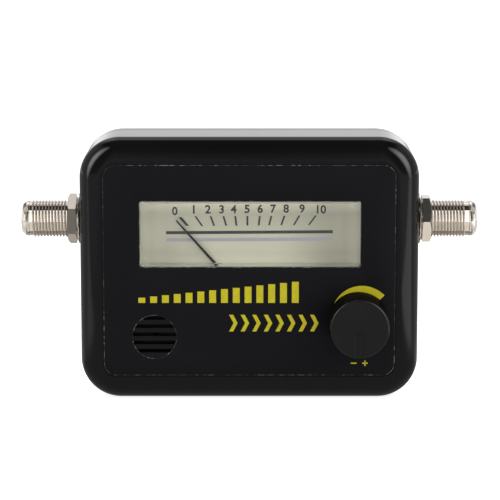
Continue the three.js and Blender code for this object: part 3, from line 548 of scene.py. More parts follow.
def make_effects():
    """The shared effects: moulded skin, turned marks that run round the X axis, and fine dust."""
    colour = ("Colour", "Color", grey(0.5))
    given = [colour, ("Grain", "Float", 4000.0), ("Mottle", "Float", 120.0), ("Spread", "Float", 0.2),
             ("Roughness", "Float", 0.4), ("Roughness Spread", "Float", 0.08)]
    gives = [("Colour", "Color"), ("Roughness", "Float"), ("Height", "Float")]
    around = [("Vector", "Vector", (0, 0, 0))]
    for name, more, fine_detail, broad_detail, broad_rough in (
            ("moulded_skin", [], 3.0, 4.0, 0.6), ("turned_marks", around, 2.0, 5.0, 0.65)):
        tree, inputs, outputs = effect(name, more + given, gives)
        place = grain_place = inputs["Vector"] if more else object_place(tree)
        if more:
            parts = node(tree, "SeparateXYZ", {0: place}).outputs
            square = sums(tree, "ADD", times(tree, parts[1], parts[1]), times(tree, parts[2], parts[2]))
            reach = sums(tree, "SQRT", square)
            grain_place = node(tree, "CombineXYZ", {0: parts[0], 1: reach}).outputs[0]
        fine = noise(tree, grain_place, inputs["Grain"], fine_detail)
        broad = noise(tree, place, inputs["Mottle"], broad_detail, Roughness=broad_rough)
        swing = sums(tree, "SUBTRACT", broad, 0.5)
        level = sums(tree, "MULTIPLY_ADD", swing, inputs["Spread"], 1.0)
        rough = sums(tree, "MULTIPLY_ADD", swing, inputs["Roughness Spread"], inputs["Roughness"], True)
        send(tree, outputs, Colour=scaled(tree, inputs["Colour"], level), Roughness=rough, Height=fine)

    tree, inputs, outputs = effect("fine_dust", [
        colour, ("Dust", "Color", (0.3, 0.29, 0.27, 1)), ("Amount", "Float", 0.25)],
        [("Colour", "Color"), ("Mask", "Float")])
    place = object_place(tree)
    spots = ramp(tree, noise(tree, place, 2600.0, 2.0), 0.0, 1.0, 0.70, 0.80)
    drift = ramp(tree, noise(tree, place, 60.0, 3.0), 0.0, 1.0, 0.4, 0.65)
    mask = sums(tree, "MULTIPLY", times(tree, spots, drift), inputs["Amount"], clamp=True)
    send(tree, outputs, Colour=blend(tree, mask, inputs["Colour"], inputs["Dust"]), Mask=mask)


def start_material(name):
    material = bpy.data.materials.new(name)
    material.use_nodes = True
    tree = material.node_tree
    tree.nodes.clear()
    return material, tree


def finish_material(tree, shader):
    node(tree, "OutputMaterial", {"Surface": shader})


def finish_surface(tree, colour, roughness, height, depth, strength, **more):
    """End in a surface whose bump is a depth in millimetres."""
    bump = node(tree, "Bump", {"Height": height, "Distance": depth * MM, "Strength": strength})
    finish_material(tree, node(tree, "BsdfPrincipled", {
        "Base Color": colour, "Roughness": roughness, "Normal": bump.outputs[0], **more}).outputs[0])


def use_effect(tree, name, **inputs):
    """Place a node group; an input's spaces are underscores here."""
    made = node(tree, "Group", node_tree=bpy.data.node_groups[name])
    for key, value in inputs.items():
        plug(tree, made.inputs[key.replace("_", " ")], value)
    return made.outputs


def moulded(name, colour, roughness, grain, mottle, spread, depth, specular=0.5, dust=0.0):
    """A moulded or coated surface: skin grain, faint mottling and a trace of dust."""
    material, tree = start_material(name)
    skin = use_effect(tree, "moulded_skin", Colour=rgba(colour), Grain=grain, Mottle=mottle,
                      Spread=spread, Roughness=roughness, Roughness_Spread=roughness * 0.5)
    base = skin["Colour"]
    if dust:
        base = use_effect(tree, "fine_dust", Colour=base, Amount=dust)["Colour"]
    finish_surface(tree, base, skin["Roughness"], skin["Height"], depth, 0.6,
                   **{"Specular IOR Level": specular})
    return material


def machined(name, colour, roughness, centre=(0, 0, 0), axis=RIGHT, grain=9000.0, depth=0.004,
             spread=0.25, rough_spread=0.12, mottle=500.0):
    """A turned or plated metal, with marks that run round an axis."""
    material, tree = start_material(name)
    turn = axis.rotation_difference(RIGHT)
    shift = -(turn.to_matrix() @ Vector(centre))
    mapping = node(tree, "Mapping", {"Vector": object_place(tree), "Location": shift,
                                     "Rotation": turn.to_euler()})
    marks = use_effect(tree, "turned_marks", Vector=mapping.outputs[0], Colour=rgba(colour),
                       Grain=grain, Mottle=mottle, Spread=spread, Roughness=roughness,
                       Roughness_Spread=rough_spread)
    finish_surface(tree, marks["Colour"], marks["Roughness"], marks["Height"], depth, 0.5, Metallic=1.0)
    return material


def clear_moulding(name, colour, roughness, ior, coat):
    """Clear plastic that lets lamp light through to what lies behind it."""
    material, tree = start_material(name)
    skin = use_effect(tree, "moulded_skin", Colour=rgba(colour), Grain=900.0, Mottle=60.0, Spread=0.04,
                      Roughness=roughness, Roughness_Spread=roughness)
    glass = node(tree, "BsdfPrincipled", {
        "Base Color": skin["Colour"], "Roughness": skin["Roughness"], "Transmission Weight": 1.0,
        "IOR": ior, "Coat Weight": coat, "Coat Roughness": 0.03})
    passing = node(tree, "BsdfTransparent", {"Color": rgba((0.96, 0.97, 0.95))})
    shadow = node(tree, "LightPath").outputs["Is Shadow Ray"]
    finish_material(tree, choose(tree, shadow, glass.outputs[0], passing.outputs[0]))
    return material


def cut_edge(name):
    """The label film's cut edge: its pale core shows in places, and those pale spots are painted glints."""
    material, tree = start_material(name)
    place = object_place(tree)
    broken_glints = noise(tree, place, 1300.0, 3.0)
    mask = times(tree, ramp(tree, broken_glints, 0.0, 1.0, 0.5, 0.62),
                 ramp(tree, noise(tree, place, 70.0, 2.0), 0.2, 1.0, 0.34, 0.58))
    # Pale spots on the dark edge: the film's pale core, and painted glints
    colour = blend(tree, mask, rgba((0.016, 0.016, 0.018)), rgba((0.3, 0.3, 0.285)))
    finish_surface(tree, colour, 0.45, broken_glints, 0.02, 0.5)
    return material


def dial_surface(name, colour):
    """The dial plate with painted light and shade: a glow low in the middle, lit rims and ends, a fall to
    the right.
    """
    material, tree = start_material(name)
    skin = use_effect(tree, "moulded_skin", Colour=rgba(colour), Grain=5200.0, Mottle=90.0, Spread=0.05,
                      Roughness=0.6, Roughness_Spread=0.1)
    parts = node(tree, "SeparateXYZ", {0: object_place(tree)}).outputs
    across = sums(tree, "SUBTRACT", parts[0], PIVOT.x)
    aside = sums(tree, "ABSOLUTE", across)
    below = sums(tree, "SUBTRACT", parts[2], METER_HIGH.z)
    # Painted glow low in the middle of the plate
    glow = times(tree, span(tree, aside, 6, 22, 1.0, 0.0), span(tree, below, -18, -9, 0.28, 0.0))
    # Painted light along the plate's upper and lower rims
    rim = sums(tree, "MAXIMUM", span(tree, below, -7.6, -3.6, 1.0, 2.1),
               span(tree, below, -20.2, -16.6, 1.5, 1.0))
    # Painted light at both ends, and painted shade falling to the right
    level = times(tree, span(tree, aside, 20, 23.4, 1.0, 1.12), span(tree, aside, 23.4, 27.4, 1.0, 1.55),
                  span(tree, across, 4, 24, 1.0, 0.79), rim, sums(tree, "ADD", glow, 1.0))
    finish_surface(tree, scaled(tree, skin["Colour"], level), skin["Roughness"], skin["Height"], 0.004, 0.4)
    return material


def make_materials():
    """Every finish that the operators use, by name."""
    scene = bpy.context.scene
    case, label, dial = scene.meter_case, scene.meter_label, scene.meter_dial
    knob, socket = scene.meter_knob, scene.meter_socket
    # Name, colour, roughness, grain, mottle, spread, depth in millimetres, specular level, dust
    coated = {
        "case": ("moulded_black", case.colour, 0.1, 700, 45, 0.3, 0.0016, 0.5, 0.04),
        "film": ("label_film", label.film, 0.42, 6000, 80, 0.2, 0.006, 0.22, 0.05),
        "ink": ("label_ink_yellow", label.ink, 0.5, 5000, 900, 0.35, 0.01, 0.2),
        "dial_ink": ("dial_ink_dark", dial.ink, 0.6, 5000, 1500, 0.5, 0.004, 0.05),
        "dial_shade": ("dial_ink_pale", dial.shade, 0.6, 5000, 1500, 0.2, 0.004, 0.2),
        # Pale opaque rim of the clear window: a painted highlight
        "clear_edge_highlight": ("clear_window_edge", (0.55, 0.55, 0.47), 0.3, 1500, 700, 0.5, 0.004),
        "knob": ("knob_matt_black", knob.colour, 0.55, 3800, 150, 0.25, 0.012, 0.3, 0.1),
        # The knob's skirt, darker than the knob itself: painted shade
        "knob_side_shade": ("knob_dark_side", (0.0045, 0.0045, 0.0045), 0.6, 3800, 150, 0.25, 0.008, 0.035, 0.04),
        "knob_rim": ("knob_worn_rim", knob.colour, 0.2, 3800, 150, 0.25, 0.004, 0.5, 0.1),
        "needle": ("needle_paint", (0.006, 0.006, 0.006), 0.5, 8000, 700, 0.3, 0.004, 0.06),
        "insulator": ("white_insulator", (0.78, 0.765, 0.71), 0.45, 2500, 300, 0.08, 0.006),
        "dark": ("dark_moulding", (0.02, 0.02, 0.02), 0.45, 3000, 200, 0.4, 0.008, 0.5, 0.1),
        "wafer": ("brown_laminate", (0.15, 0.07, 0.03), 0.6, 2200, 350, 0.6, 0.01),
        "board": ("board_green", (0.02, 0.1, 0.04), 0.4, 2600, 260, 0.5, 0.01, 0.5, 0.1),
        "sleeve": ("capacitor_sleeve", (0.02, 0.02, 0.045), 0.25, 900, 200, 0.4, 0.004),
        "lacquer": ("resistor_lacquer", (0.58, 0.42, 0.2), 0.4, 1600, 700, 0.3, 0.008)}
    # Name, colour, roughness, index of refraction, coat
    clear = {
        "clear": ("clear_window", (0.97, 0.975, 0.96), 0.02, 1.12, 0.6),
        "jewel": ("jewel_red", (0.42, 0.05, 0.08), 0.05, 1.76, 0.0),
        "lamp": ("lamp_lens", (0.86, 0.76, 0.46), 0.12, 1.45, 0.3)}
    return {
        **{key: moulded(*row) for key, row in coated.items()},
        **{key: clear_moulding(*row) for key, row in clear.items()},
        "film_edge_glints": cut_edge("film_cut_edge_painted_glints"),
        "dial": dial_surface("dial_cream_plate_painted_light", dial.plate),
        # Pale metal for the needle's left edge: a painted highlight
        "needle_edge_highlight": machined("needle_left_edge_painted_highlight", (0.75, 0.75, 0.72), 0.35, PIVOT, BACK),
        "nickel": machined("nickel_plate", socket.colour, 0.07, SOCKET_AXIS, rough_spread=0.05),
        "zinc": machined("zinc_washer", (0.85, 0.81, 0.74), 0.22, SOCKET_AXIS, mottle=900, spread=0.4),
        "screw": machined("zinc_screw", (0.5, 0.5, 0.49), 0.34, axis=BACK, mottle=900, spread=0.35),
        "steel": machined("rolled_steel", (0.5, 0.5, 0.5), 0.38, KNOB, BACK, mottle=300),
        "brass": machined("turned_brass", (0.6, 0.43, 0.18), 0.34, PIVOT, BACK, mottle=400),
        "contact": machined("contact_brass", (0.72, 0.55, 0.28), 0.26, SOCKET_AXIS),
        "copper": machined("enamelled_copper", (0.5, 0.2, 0.08), 0.4, axis=BACK, grain=14000, depth=0.02),
        "iron": machined("ground_iron", (0.12, 0.12, 0.13), 0.5, PIVOT, BACK, spread=0.5)}


finishes = {}


# Operators, one for each piece or group of like pieces

class METER_OT_front_shell(bpy.types.Operator):
    """Mould the front shell with its recess, its openings and its posts"""
    bl_idname = "meter.front_shell"
    bl_label = "Front shell"

    def execute(self, context):
        case, label = context.scene.meter_case, context.scene.meter_label
        low, high = CASE_LOW, Vector((CASE_HIGH.x, PARTING_Y, CASE_HIGH.z))
        shell = rounded_block("front_shell", low, high, case.corner, case.steps, [
            (low.y, case.front_round, 14), (high.y, case.seam, 2)])
        wall = Vector((case.side_wall, case.front_wall, case.side_wall))
        inner_low = low + wall
        inner_high = high - Vector((case.side_wall, -MM, case.side_wall))
        cavity = rounded_block("cavity", inner_low, inner_high, case.corner - case.side_wall, case.steps,
                               [(inner_low.y, case.front_round - case.side_wall, 6)])
        combine(shell, "DIFFERENCE", cavity)
        self.add_posts(shell, case, inner_low.y)
        self.cut_openings(shell, case, label, inner_low.y)
        soften(shell, case.edge)
        hand_over(shell, "case", "case_black", "front_case")
        return {"FINISHED"}

    def add_posts(self, shell, case, wall_y):
        start = wall_y - MM / 2
        posts = [screw_rods("post", case.post, start, PARTING_Y, 28)]
        board_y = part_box("circuit_board")[0].y
        for centre in map(middle, BOARD_SCREW_BOXES):
            posts += [rod("standoff", (x, 0, centre.z), case.standoff, start, board_y, 24)
                      for x in (centre.x, -centre.x)]
        inner = (SOUNDER_HIGH.x - SOUNDER_LOW.x) / 2 + case.clearance
        end = SOUNDER_LOW.y + MM
        collar = turned("collar", [(inner, start), (inner + MM, start), (inner + MM, end), (inner, end),
                                   (inner, start)], SOUNDER, BACK, 48)
        combine(shell, "UNION", joined("posts", posts), collar)
        pilot_y = SCREW_BOXES[0][0].y
        combine(shell, "DIFFERENCE", screw_rods("pilots", case.pilot, pilot_y, PARTING_Y + MM, 20))

    def cut_openings(self, shell, case, label, wall_y):
        room = Vector((label.gap, 0, label.gap))
        front = LABEL_LOW - room - BACK * MM
        floor = LABEL_HIGH + room + BACK * label.seat
        recess = rounded_block("recess", front, floor, label.corner + label.gap, 10)
        out, back = CASE_LOW.y - MM, wall_y + MM
        openings = [window_block("opening", label, 0, out, back),
                    rod("shaft_hole", KNOB, label.shaft_hole, out, back, 48)]
        openings += [slot_block(label, index, out, back) for index in range(-2, 3)]
        radius, side, reach = BODY_HIGH.z - SOCKET_Z - 1.5 * MM, CASE_HIGH.x, 4 * MM
        openings += [socket_rod("socket_hole", radius, side - reach, side + reach, 48, sign)
                     for sign in SIDES.values()]
        combine(shell, "DIFFERENCE", recess, *openings)


def window_block(name, label, gap, front, back):
    """The window's outline as a block, drawn in by a gap."""
    centre_x = middle((METER_LOW, METER_HIGH)).x
    half = label.window_width / 2 - gap
    top = METER_HIGH.z - label.window_head - gap
    sill = METER_HIGH.z - label.window_head - label.window_height + gap
    return rounded_block(name, (centre_x - half, front, sill), (centre_x + half, back, top),
                         label.window_corner, 5)


def slot_block(label, index, front, back):
    """One sound slot, a chord of the label's round hole."""
    rise = index * label.slot_pitch + label.slot_rise
    half = math.sqrt(label.grille ** 2 - rise ** 2)
    z = SOUNDER.z + rise
    return block("slot", (SOUNDER.x - half, front, z - label.slot / 2),
                 (SOUNDER.x + half, back, z + label.slot / 2))


class METER_OT_rear_shell(bpy.types.Operator):
    """Mould the rear shell with its lip, its screw recesses and its bosses"""
    bl_idname = "meter.rear_shell"
    bl_label = "Rear shell"

    def execute(self, context):
        case = context.scene.meter_case
        low = Vector((CASE_LOW.x, PARTING_Y, CASE_LOW.z))
        high = Vector((CASE_HIGH.x, COVER_HIGH.y, CASE_HIGH.z))
        shell = rounded_block("rear_shell", low, high, case.corner, case.steps, [
            (high.y, case.rear_round, 8), (low.y, case.seam, 2)])
        side = Vector((case.side_wall, 0, case.side_wall))
        floor_y = high.y - case.rear_wall
        cavity = rounded_block("cavity", low + side - BACK * MM,
                               Vector((high.x, floor_y, high.z)) - side,
                               case.corner - case.side_wall, case.steps)
        combine(shell, "DIFFERENCE", cavity)
        combine(shell, "UNION", self.make_lip(case, low, high, floor_y))
        reach = SCREW_BOXES[0][1].x - middle(SCREW_BOXES[0]).x
        bosses = screw_rods("bosses", reach + 2 * case.clearance, low.y, floor_y + MM / 2, 28)
        combine(shell, "UNION", bosses)
        seat_y = high.y - 2.1 * MM
        combine(shell, "DIFFERENCE", screw_rods("holes", case.pilot, low.y - MM, high.y, 20),
                screw_rods("wells", reach + case.clearance, seat_y, high.y + MM, 40))
        soften(shell, case.edge)
        hand_over(shell, "case", "case_black", "rear_cover")
        return {"FINISHED"}

    def make_lip(self, case, low, high, floor_y):
        outer = case.side_wall + case.clearance
        inner = outer + case.lip
        start, end = COVER_LOW.y, floor_y + MM / 2
        lip = rounded_block("lip", (low.x + outer, start, low.z + outer),
                            (high.x - outer, end, high.z - outer), case.corner - outer, case.steps)
        hollow = rounded_block("hollow", (low.x + inner, start - MM, low.z + inner),
                               (high.x - inner, floor_y, high.z - inner), case.corner - inner, case.steps)
        reach, wide, tall = high.x - 3 * MM, 3.2 * MM, BODY_HIGH.z - SOCKET_Z + case.clearance
        notches = [block("notch", (sign * reach - wide, start - MM, SOCKET_Z - tall),
                         (sign * reach + wide, PARTING_Y, SOCKET_Z + tall)) for sign in SIDES.values()]
        return combine(lip, "DIFFERENCE", hollow, *notches)


class METER_OT_case_screws(bpy.types.Operator):
    """Turn the domed cross-slot screws that hold the rear shell"""
    bl_idname = "meter.case_screws"
    bl_label = "Case screws"

    def execute(self, context):
        low, high = SCREW_BOXES[0]
        centre = middle(SCREW_BOXES[0])
        head, top = high.x - centre.x, high.y
        seat_y, shank = top - 1.8 * MM, 1.4 * MM
        brim_y, dome, ease = seat_y + 0.75 * MM, 1.05 * MM, 0.15 * MM
        profile = [(0, low.y), (shank * 0.5, low.y + 0.7 * MM), (shank, low.y + 1.6 * MM), (shank, seat_y),
                   (head - ease, seat_y), (head, seat_y + ease), (head, brim_y)]
        profile += [(head * math.cos(angle), brim_y + dome * math.sin(angle)) for angle in quarter(8, 1)]
        screw = turned("case_screw", profile, centre, BACK, 48)
        base = Vector((centre.x, 0, centre.z))
        floor, mouth = BACK * (top - 1.15 * MM), BACK * (top + MM)
        for reach_x, reach_z, narrow_x, narrow_z in ((1.7, 0.36, 0.62, 0.7), (0.36, 1.7, 0.7, 0.62)):
            corner = Vector((reach_x, 0, reach_z)) * MM
            blade = block("blade", base - corner + floor, base + corner + mouth)
            pick(blade, "FACE", lambda face: face.normal.y < -0.9)
            bpy.ops.transform.resize(value=(narrow_x, 1, narrow_z))
            leave_edit()
            combine(screw, "DIFFERENCE", blade)
        soften(screw, 0.05 * MM)
        for index, corners in enumerate(SCREW_BOXES, 1):
            placed = copied(screw, f"case_screw_cross_{index}", middle(corners) - centre)
            hand_over(placed, "screw", "plated_steel", f"case_screw_{index}")
        bpy.data.objects.remove(screw)
        return {"FINISHED"}


class METER_OT_label(bpy.types.Operator):
    """Cut the front label with its window, its sound hole and its shaft hole"""
    bl_idname = "meter.label"
    bl_label = "Front label"

    def execute(self, context):
        label = context.scene.meter_label
        film = rounded_block("front_label", LABEL_LOW, LABEL_HIGH, label.corner, 12)
        out, back = LABEL_LOW.y - MM, LABEL_HIGH.y + MM
        combine(film, "DIFFERENCE", window_block("opening", label, 0, out, back),
                rod("sound_hole", SOUNDER, label.grille, out, back, 96),
                rod("shaft_hole", KNOB, label.shaft_hole, out, back, 48))
        round_edges(film, at_depth(LABEL_LOW.y), label.edge, 2)
        hand_over(film, "film", "label_ink", "front_overlay")
        # The cut edge's faces take pale spots that are painted glints
        paint_faces(film, "film_edge_glints", lambda face: abs(face.normal.y) < 0.95)
        smooth(film, 30)
        return {"FINISHED"}


class METER_OT_label_print(bpy.types.Operator):
    """Print the label: a rising gain arc, level bars, chevrons, a minus and a plus"""
    bl_idname = "meter.label_print"
    bl_label = "Label print"

    def execute(self, context):
        label = context.scene.meter_label
        back = LABEL_LOW.y + 0.01 * MM
        front = LABEL_LOW.y - label.print_depth
        self.dress(drawn("print_gain_arc", self.arc_outline(), front, back))
        bars = []
        count, wide, low, high = 14, 1.7 * MM, 1.3 * MM, 5.3 * MM
        start, end, base = -27.4 * MM, 10.5 * MM, SOUNDER.z + 8.6 * MM
        for index in range(count):
            share = index / (count - 1)
            x, height = start + (end - start) * share, low + (high - low) * share
            bars.append(block("bar", (x, front, base), (x + wide, back, base + height)))
        self.dress(joined("print_level_bars", bars))
        chevrons = []
        start, pitch, row = -5.0 * MM, 2.86 * MM, SOUNDER.z + 3.5 * MM
        half, arm, point = 2.1 * MM, 1.0 * MM, 1.1 * MM
        for index in range(8):
            x = start + pitch * index
            outline = [(x, row - half), (x + arm, row - half), (x + arm + point, row),
                       (x + arm, row + half), (x, row + half), (x + point, row)]
            chevrons.append(drawn("chevron", outline, front, back))
        self.dress(joined("print_chevrons", chevrons))
        self.dress(self.signs(front, back))
        return {"FINISHED"}

    def signs(self, front, back):
        """The minus and the plus under the knob."""
        half, stroke = 0.7 * MM, 0.16 * MM
        minus = Vector((KNOB.x - 1.0 * MM, 0, KNOB.z - 10.62 * MM))
        plus = minus + RIGHT * 2.8 * MM
        bars = [block("bar", (centre.x - x, front, centre.z - z), (centre.x + x, back, centre.z + z))
                for centre, x, z in ((minus, half, stroke), (plus, half, stroke), (plus, stroke, half))]
        combine(bars[1], "UNION", bars.pop())
        return joined("print_minus_plus", bars)

    def arc_outline(self):
        """A wedge that widens clockwise: outer edge first, then the inner edge back."""
        outer, inner = [], []
        start, sweep, count = 148, 103, 24
        for step in range(count + 1):
            share = step / count
            angle = math.radians(start - sweep * share)
            swell = math.sin(math.pi / 2 * min(1, share * 1.25))
            far = 7.25 + 1.95 * swell * (0.78 + 0.22 * share)
            near = 7.15 + 0.45 * share ** 2
            for edge, reach in ((outer, far), (inner, near)):
                edge.append((KNOB.x + reach * MM * math.cos(angle), KNOB.z + reach * MM * math.sin(angle)))
        return outer + inner[::-1]

    def dress(self, obj):
        hand_over(obj, "ink", "label_ink")


class METER_OT_window(bpy.types.Operator):
    """Mould the meter's clear cover with its raised window"""
    bl_idname = "meter.window"
    bl_label = "Clear window"

    def execute(self, context):
        label, case = context.scene.meter_label, context.scene.meter_case
        wall, play, rim, inner_play = 1.2 * MM, 0.15 * MM, 0.25 * MM, 0.65 * MM
        front, skirt_y = METER_LOW.y, CASE_LOW.y + case.front_wall + label.seat
        pane = window_block("window_cover", label, play, front, skirt_y + MM / 2)
        round_edges(pane, at_depth(front), rim, 3)
        hollow = window_block("hollow", label, inner_play, front + MM, skirt_y + 2 * MM)
        sill = METER_HIGH.z - label.window_head - label.window_height - 3.2 * MM
        half = 12.7 * MM
        wide = block("wide", (METER_LOW.x, skirt_y, sill), METER_HIGH)
        well = block("well", (PIVOT.x - half, skirt_y, METER_LOW.z),
                     (PIVOT.x + half, METER_HIGH.y, sill + 2 * MM))
        side, deep = Vector((wall, 0, wall)), BACK * MM
        wide_room = block("wide_room", Vector((METER_LOW.x, skirt_y, sill)) + side + deep,
                          METER_HIGH - side + deep)
        well_room = block("well_room", Vector((PIVOT.x - half, skirt_y, METER_LOW.z)) + side + deep,
                          Vector((PIVOT.x + half - wall, METER_HIGH.y + MM, sill + 3 * MM)))
        combine(pane, "UNION", wide, well)
        combine(pane, "DIFFERENCE", wide_room, well_room, hollow)
        smooth(pane, 25)
        hand_over(pane, "clear", "clear_cover", "meter_cover")
        # The pane's front rim takes a pale opaque finish: a painted highlight
        paint_faces(pane, "clear_edge_highlight", lambda face: (
            face.calc_center_median().y < front + 0.3 * MM and abs(face.normal.y) < 0.95))
        return {"FINISHED"}


class METER_OT_dial(bpy.types.Operator):
    """Print the dial: two lines, eleven marks and their numbers"""
    bl_idname = "meter.dial"
    bl_label = "Dial print"

    # Places in millimetres from the needle's pivot: each mark's top and foot, each number's centre,
    # and the two ends of each line
    ticks = [
        ((-16.83, 20.50), (-15.03, 18.36)), ((-13.06, 20.75), (-11.39, 18.31)),
        ((-9.32, 20.75), (-8.43, 18.36)), ((-6.12, 20.75), (-5.43, 18.39)),
        ((-3.20, 20.77), (-2.90, 18.39)), ((-0.20, 20.80), (-0.20, 18.44)),
        ((2.87, 20.80), (2.60, 18.46)), ((5.72, 20.80), (5.16, 18.51)),
        ((8.97, 20.85), (8.16, 18.54)), ((12.69, 20.95), (11.26, 18.54)),
        ((16.73, 20.95), (15.00, 18.56))]
    digits = [
        (-18.14, 22.00), (-13.43, 22.42), (-9.94, 22.45), (-6.57, 22.45), (-3.59, 22.47),
        (-0.27, 22.55), (2.97, 22.60), (6.19, 22.60), (9.39, 22.65), (13.32, 22.65),
        (18.11, 22.47)]
    digit_weight = 0.024
    lines = (((-20.35, 16.63), (20.94, 16.91)), ((-20.26, 14.85), (20.70, 15.10)))

    def execute(self, context):
        dial = context.scene.meter_dial
        self.front, self.back = DIAL_LOW.y - 0.03 * MM, DIAL_LOW.y + 0.01 * MM
        marks = [self.tick(top, foot, dial.tick if index else dial.end_tick)
                 for index, (top, foot) in enumerate(self.ticks)]
        marks.append(self.strip(*self.lines[0], dial.line))
        hand_over(joined("dial_marks", marks), "dial_ink", "dial_cream")
        pale = self.strip(*self.lines[1], dial.line * 1.13)
        pale.name = "dial_pale_line"
        hand_over(pale, "dial_shade", "dial_cream")
        numbers = [self.number(str(index), place, dial.digit)
                   for index, place in enumerate(self.digits)]
        hand_over(joined("dial_numbers", numbers), "dial_ink", "dial_cream")
        return {"FINISHED"}

    def tick(self, top, foot, width):
        half = width / 2 / MM
        return self.printed("tick", [(top[0] - half, top[1]), (top[0] + half, top[1]),
                                     (foot[0] + half, foot[1]), (foot[0] - half, foot[1])])

    def strip(self, left, right, width):
        half = width / 2 / MM
        return self.printed("strip", [(left[0], left[1] - half), (right[0], right[1] - half),
                                      (right[0], right[1] + half), (left[0], left[1] + half)])

    def printed(self, name, outline):
        places = [(PIVOT.x + x * MM, PIVOT.z + z * MM) for x, z in outline]
        return drawn(name, places, self.front, self.back)

    def number(self, text, place, height):
        """One printed number, set to its height, turned to face the viewer and put in its place."""
        drop_picks()
        bpy.ops.object.text_add()
        words = bpy.context.object.data
        words.body = text
        words.align_x = "CENTER"
        words.offset = self.digit_weight
        words.resolution_u = 4
        bpy.ops.object.convert(target="MESH")
        obj = bpy.context.object
        share = height / obj.dimensions.y
        bpy.ops.transform.resize(value=(share, share, share))
        settle()
        shape_with(obj, "SOLIDIFY", thickness=self.back - self.front, offset=-1)
        obj.rotation_euler.x = math.pi / 2
        settle()
        low, high = Vector(obj.bound_box[0]), Vector(obj.bound_box[6])
        move = PIVOT + (RIGHT * place[0] + UP * place[1]) * MM - (low + high) / 2
        move.y = self.front - low.y
        bpy.ops.transform.translate(value=move)
        settle()
        return closed(obj)


class METER_OT_needle(bpy.types.Operator):
    """Press the needle: a tapered blade with a painted highlight on its left cut edge, its tail and its hub
    """
    bl_idname = "meter.needle"
    bl_label = "Needle"

    def execute(self, context):
        dial = context.scene.meter_dial
        low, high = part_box("needle")
        rise, lean = high.z - PIVOT.z, PIVOT.x - low.x
        along = Vector((-lean, 0, rise)).normalized()
        across = Vector((along.z, 0, -along.x))
        reach = math.hypot(lean, rise)
        root, tip, tail = dial.needle_root / 2, dial.needle_tip / 2, 4.9 * MM
        corners = [(-root, -tail), (root, -tail), (root, 0), (tip, reach - 0.3 * MM), (0, reach - 0.1 * MM),
                   (-tip, reach - 0.3 * MM), (-root, 0)]
        places = [PIVOT + across * x + along * z for x, z in corners]
        blade = drawn("needle_blade", [(place.x, place.z) for place in places], low.y, high.y)
        round_edges(blade, at_depth(low.y), 0.09 * MM, 1)
        combine(blade, "UNION", rod("hub", middle(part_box("pivot_front")), 1.4 * MM, low.y, high.y, 36))
        hand_over(blade, "needle", "needle_black", "needle", body="needle")
        # Pale metal on the blade's left edge only: a bare cut edge, and a painted highlight
        paint_faces(blade, "needle_edge_highlight", lambda face: (
            face.normal.dot(across) < -0.5 and face.normal.y < 0.5))
        return {"FINISHED"}


class METER_OT_knob(bpy.types.Operator):
    """Turn the gain knob, hollow at the back, with its pointer groove"""
    bl_idname = "meter.knob"
    bl_label = "Gain knob"

    def execute(self, context):
        knob = context.scene.meter_knob
        front, base = KNOB_LOW.y, KNOB_HIGH.y
        profile = [(0, front)]
        profile += [(knob.radius - knob.round * (1 - math.sin(angle)),
                     front + knob.round * (1 - math.cos(angle))) for angle in quarter(8)]
        inner, hub = knob.skirt - knob.wall, knob.bore + 1.3 * MM
        deep, bore_end, ease = base - 6 * MM, base - 7.3 * MM, 0.3 * MM
        profile += [(knob.skirt, base - ease), (knob.skirt - 0.2 * MM, base), (inner, base),
                    (inner - ease, deep), (hub, deep), (hub, base), (knob.bore, base),
                    (knob.bore, bore_end), (0, bore_end)]
        body = turned("gain_knob_turned", profile, KNOB, BACK, knob.steps)
        combine(body, "DIFFERENCE", self.groove(knob, front))
        soften(body, 0.08 * MM, angle=38)
        hand_over(body, "knob", "knob_black", "gain_knob", body="knob")
        # The skirt takes a darker finish than the front: painted shade
        paint_faces(body, "knob_side_shade", lambda face: abs(face.normal.y) < 0.5)

        def on_rim(face):
            place = face.calc_center_median() - KNOB
            return (math.hypot(place.x, place.z) > knob.radius - knob.round
                    and place.y + KNOB.y < front + knob.round and face.normal.y > -0.98)
        paint_faces(body, "knob_rim", on_rim)
        return {"FINISHED"}

    def groove(self, knob, front):
        """The pointer groove's cutter: a shallow trough that leaves a rib along its middle."""
        start, end = KNOB.z - knob.groove_start, KNOB.z - knob.skirt - MM
        mouth, floor, rib = knob.groove / 2, knob.groove_floor / 2, knob.rib / 2
        deep, crown, top = front + knob.groove_depth, front + knob.groove_depth * 0.35, front - MM
        half = [(rib, crown), (rib * 1.6, deep), (floor, deep), (mouth, front), (mouth, top)]
        section = [(-x, y) for x, y in half[::-1]] + half
        cutter = pen("groove", [Vector((KNOB.x + x, y, end)) for x, y in section])
        filled(UP * (start - end))
        return closed(cutter)


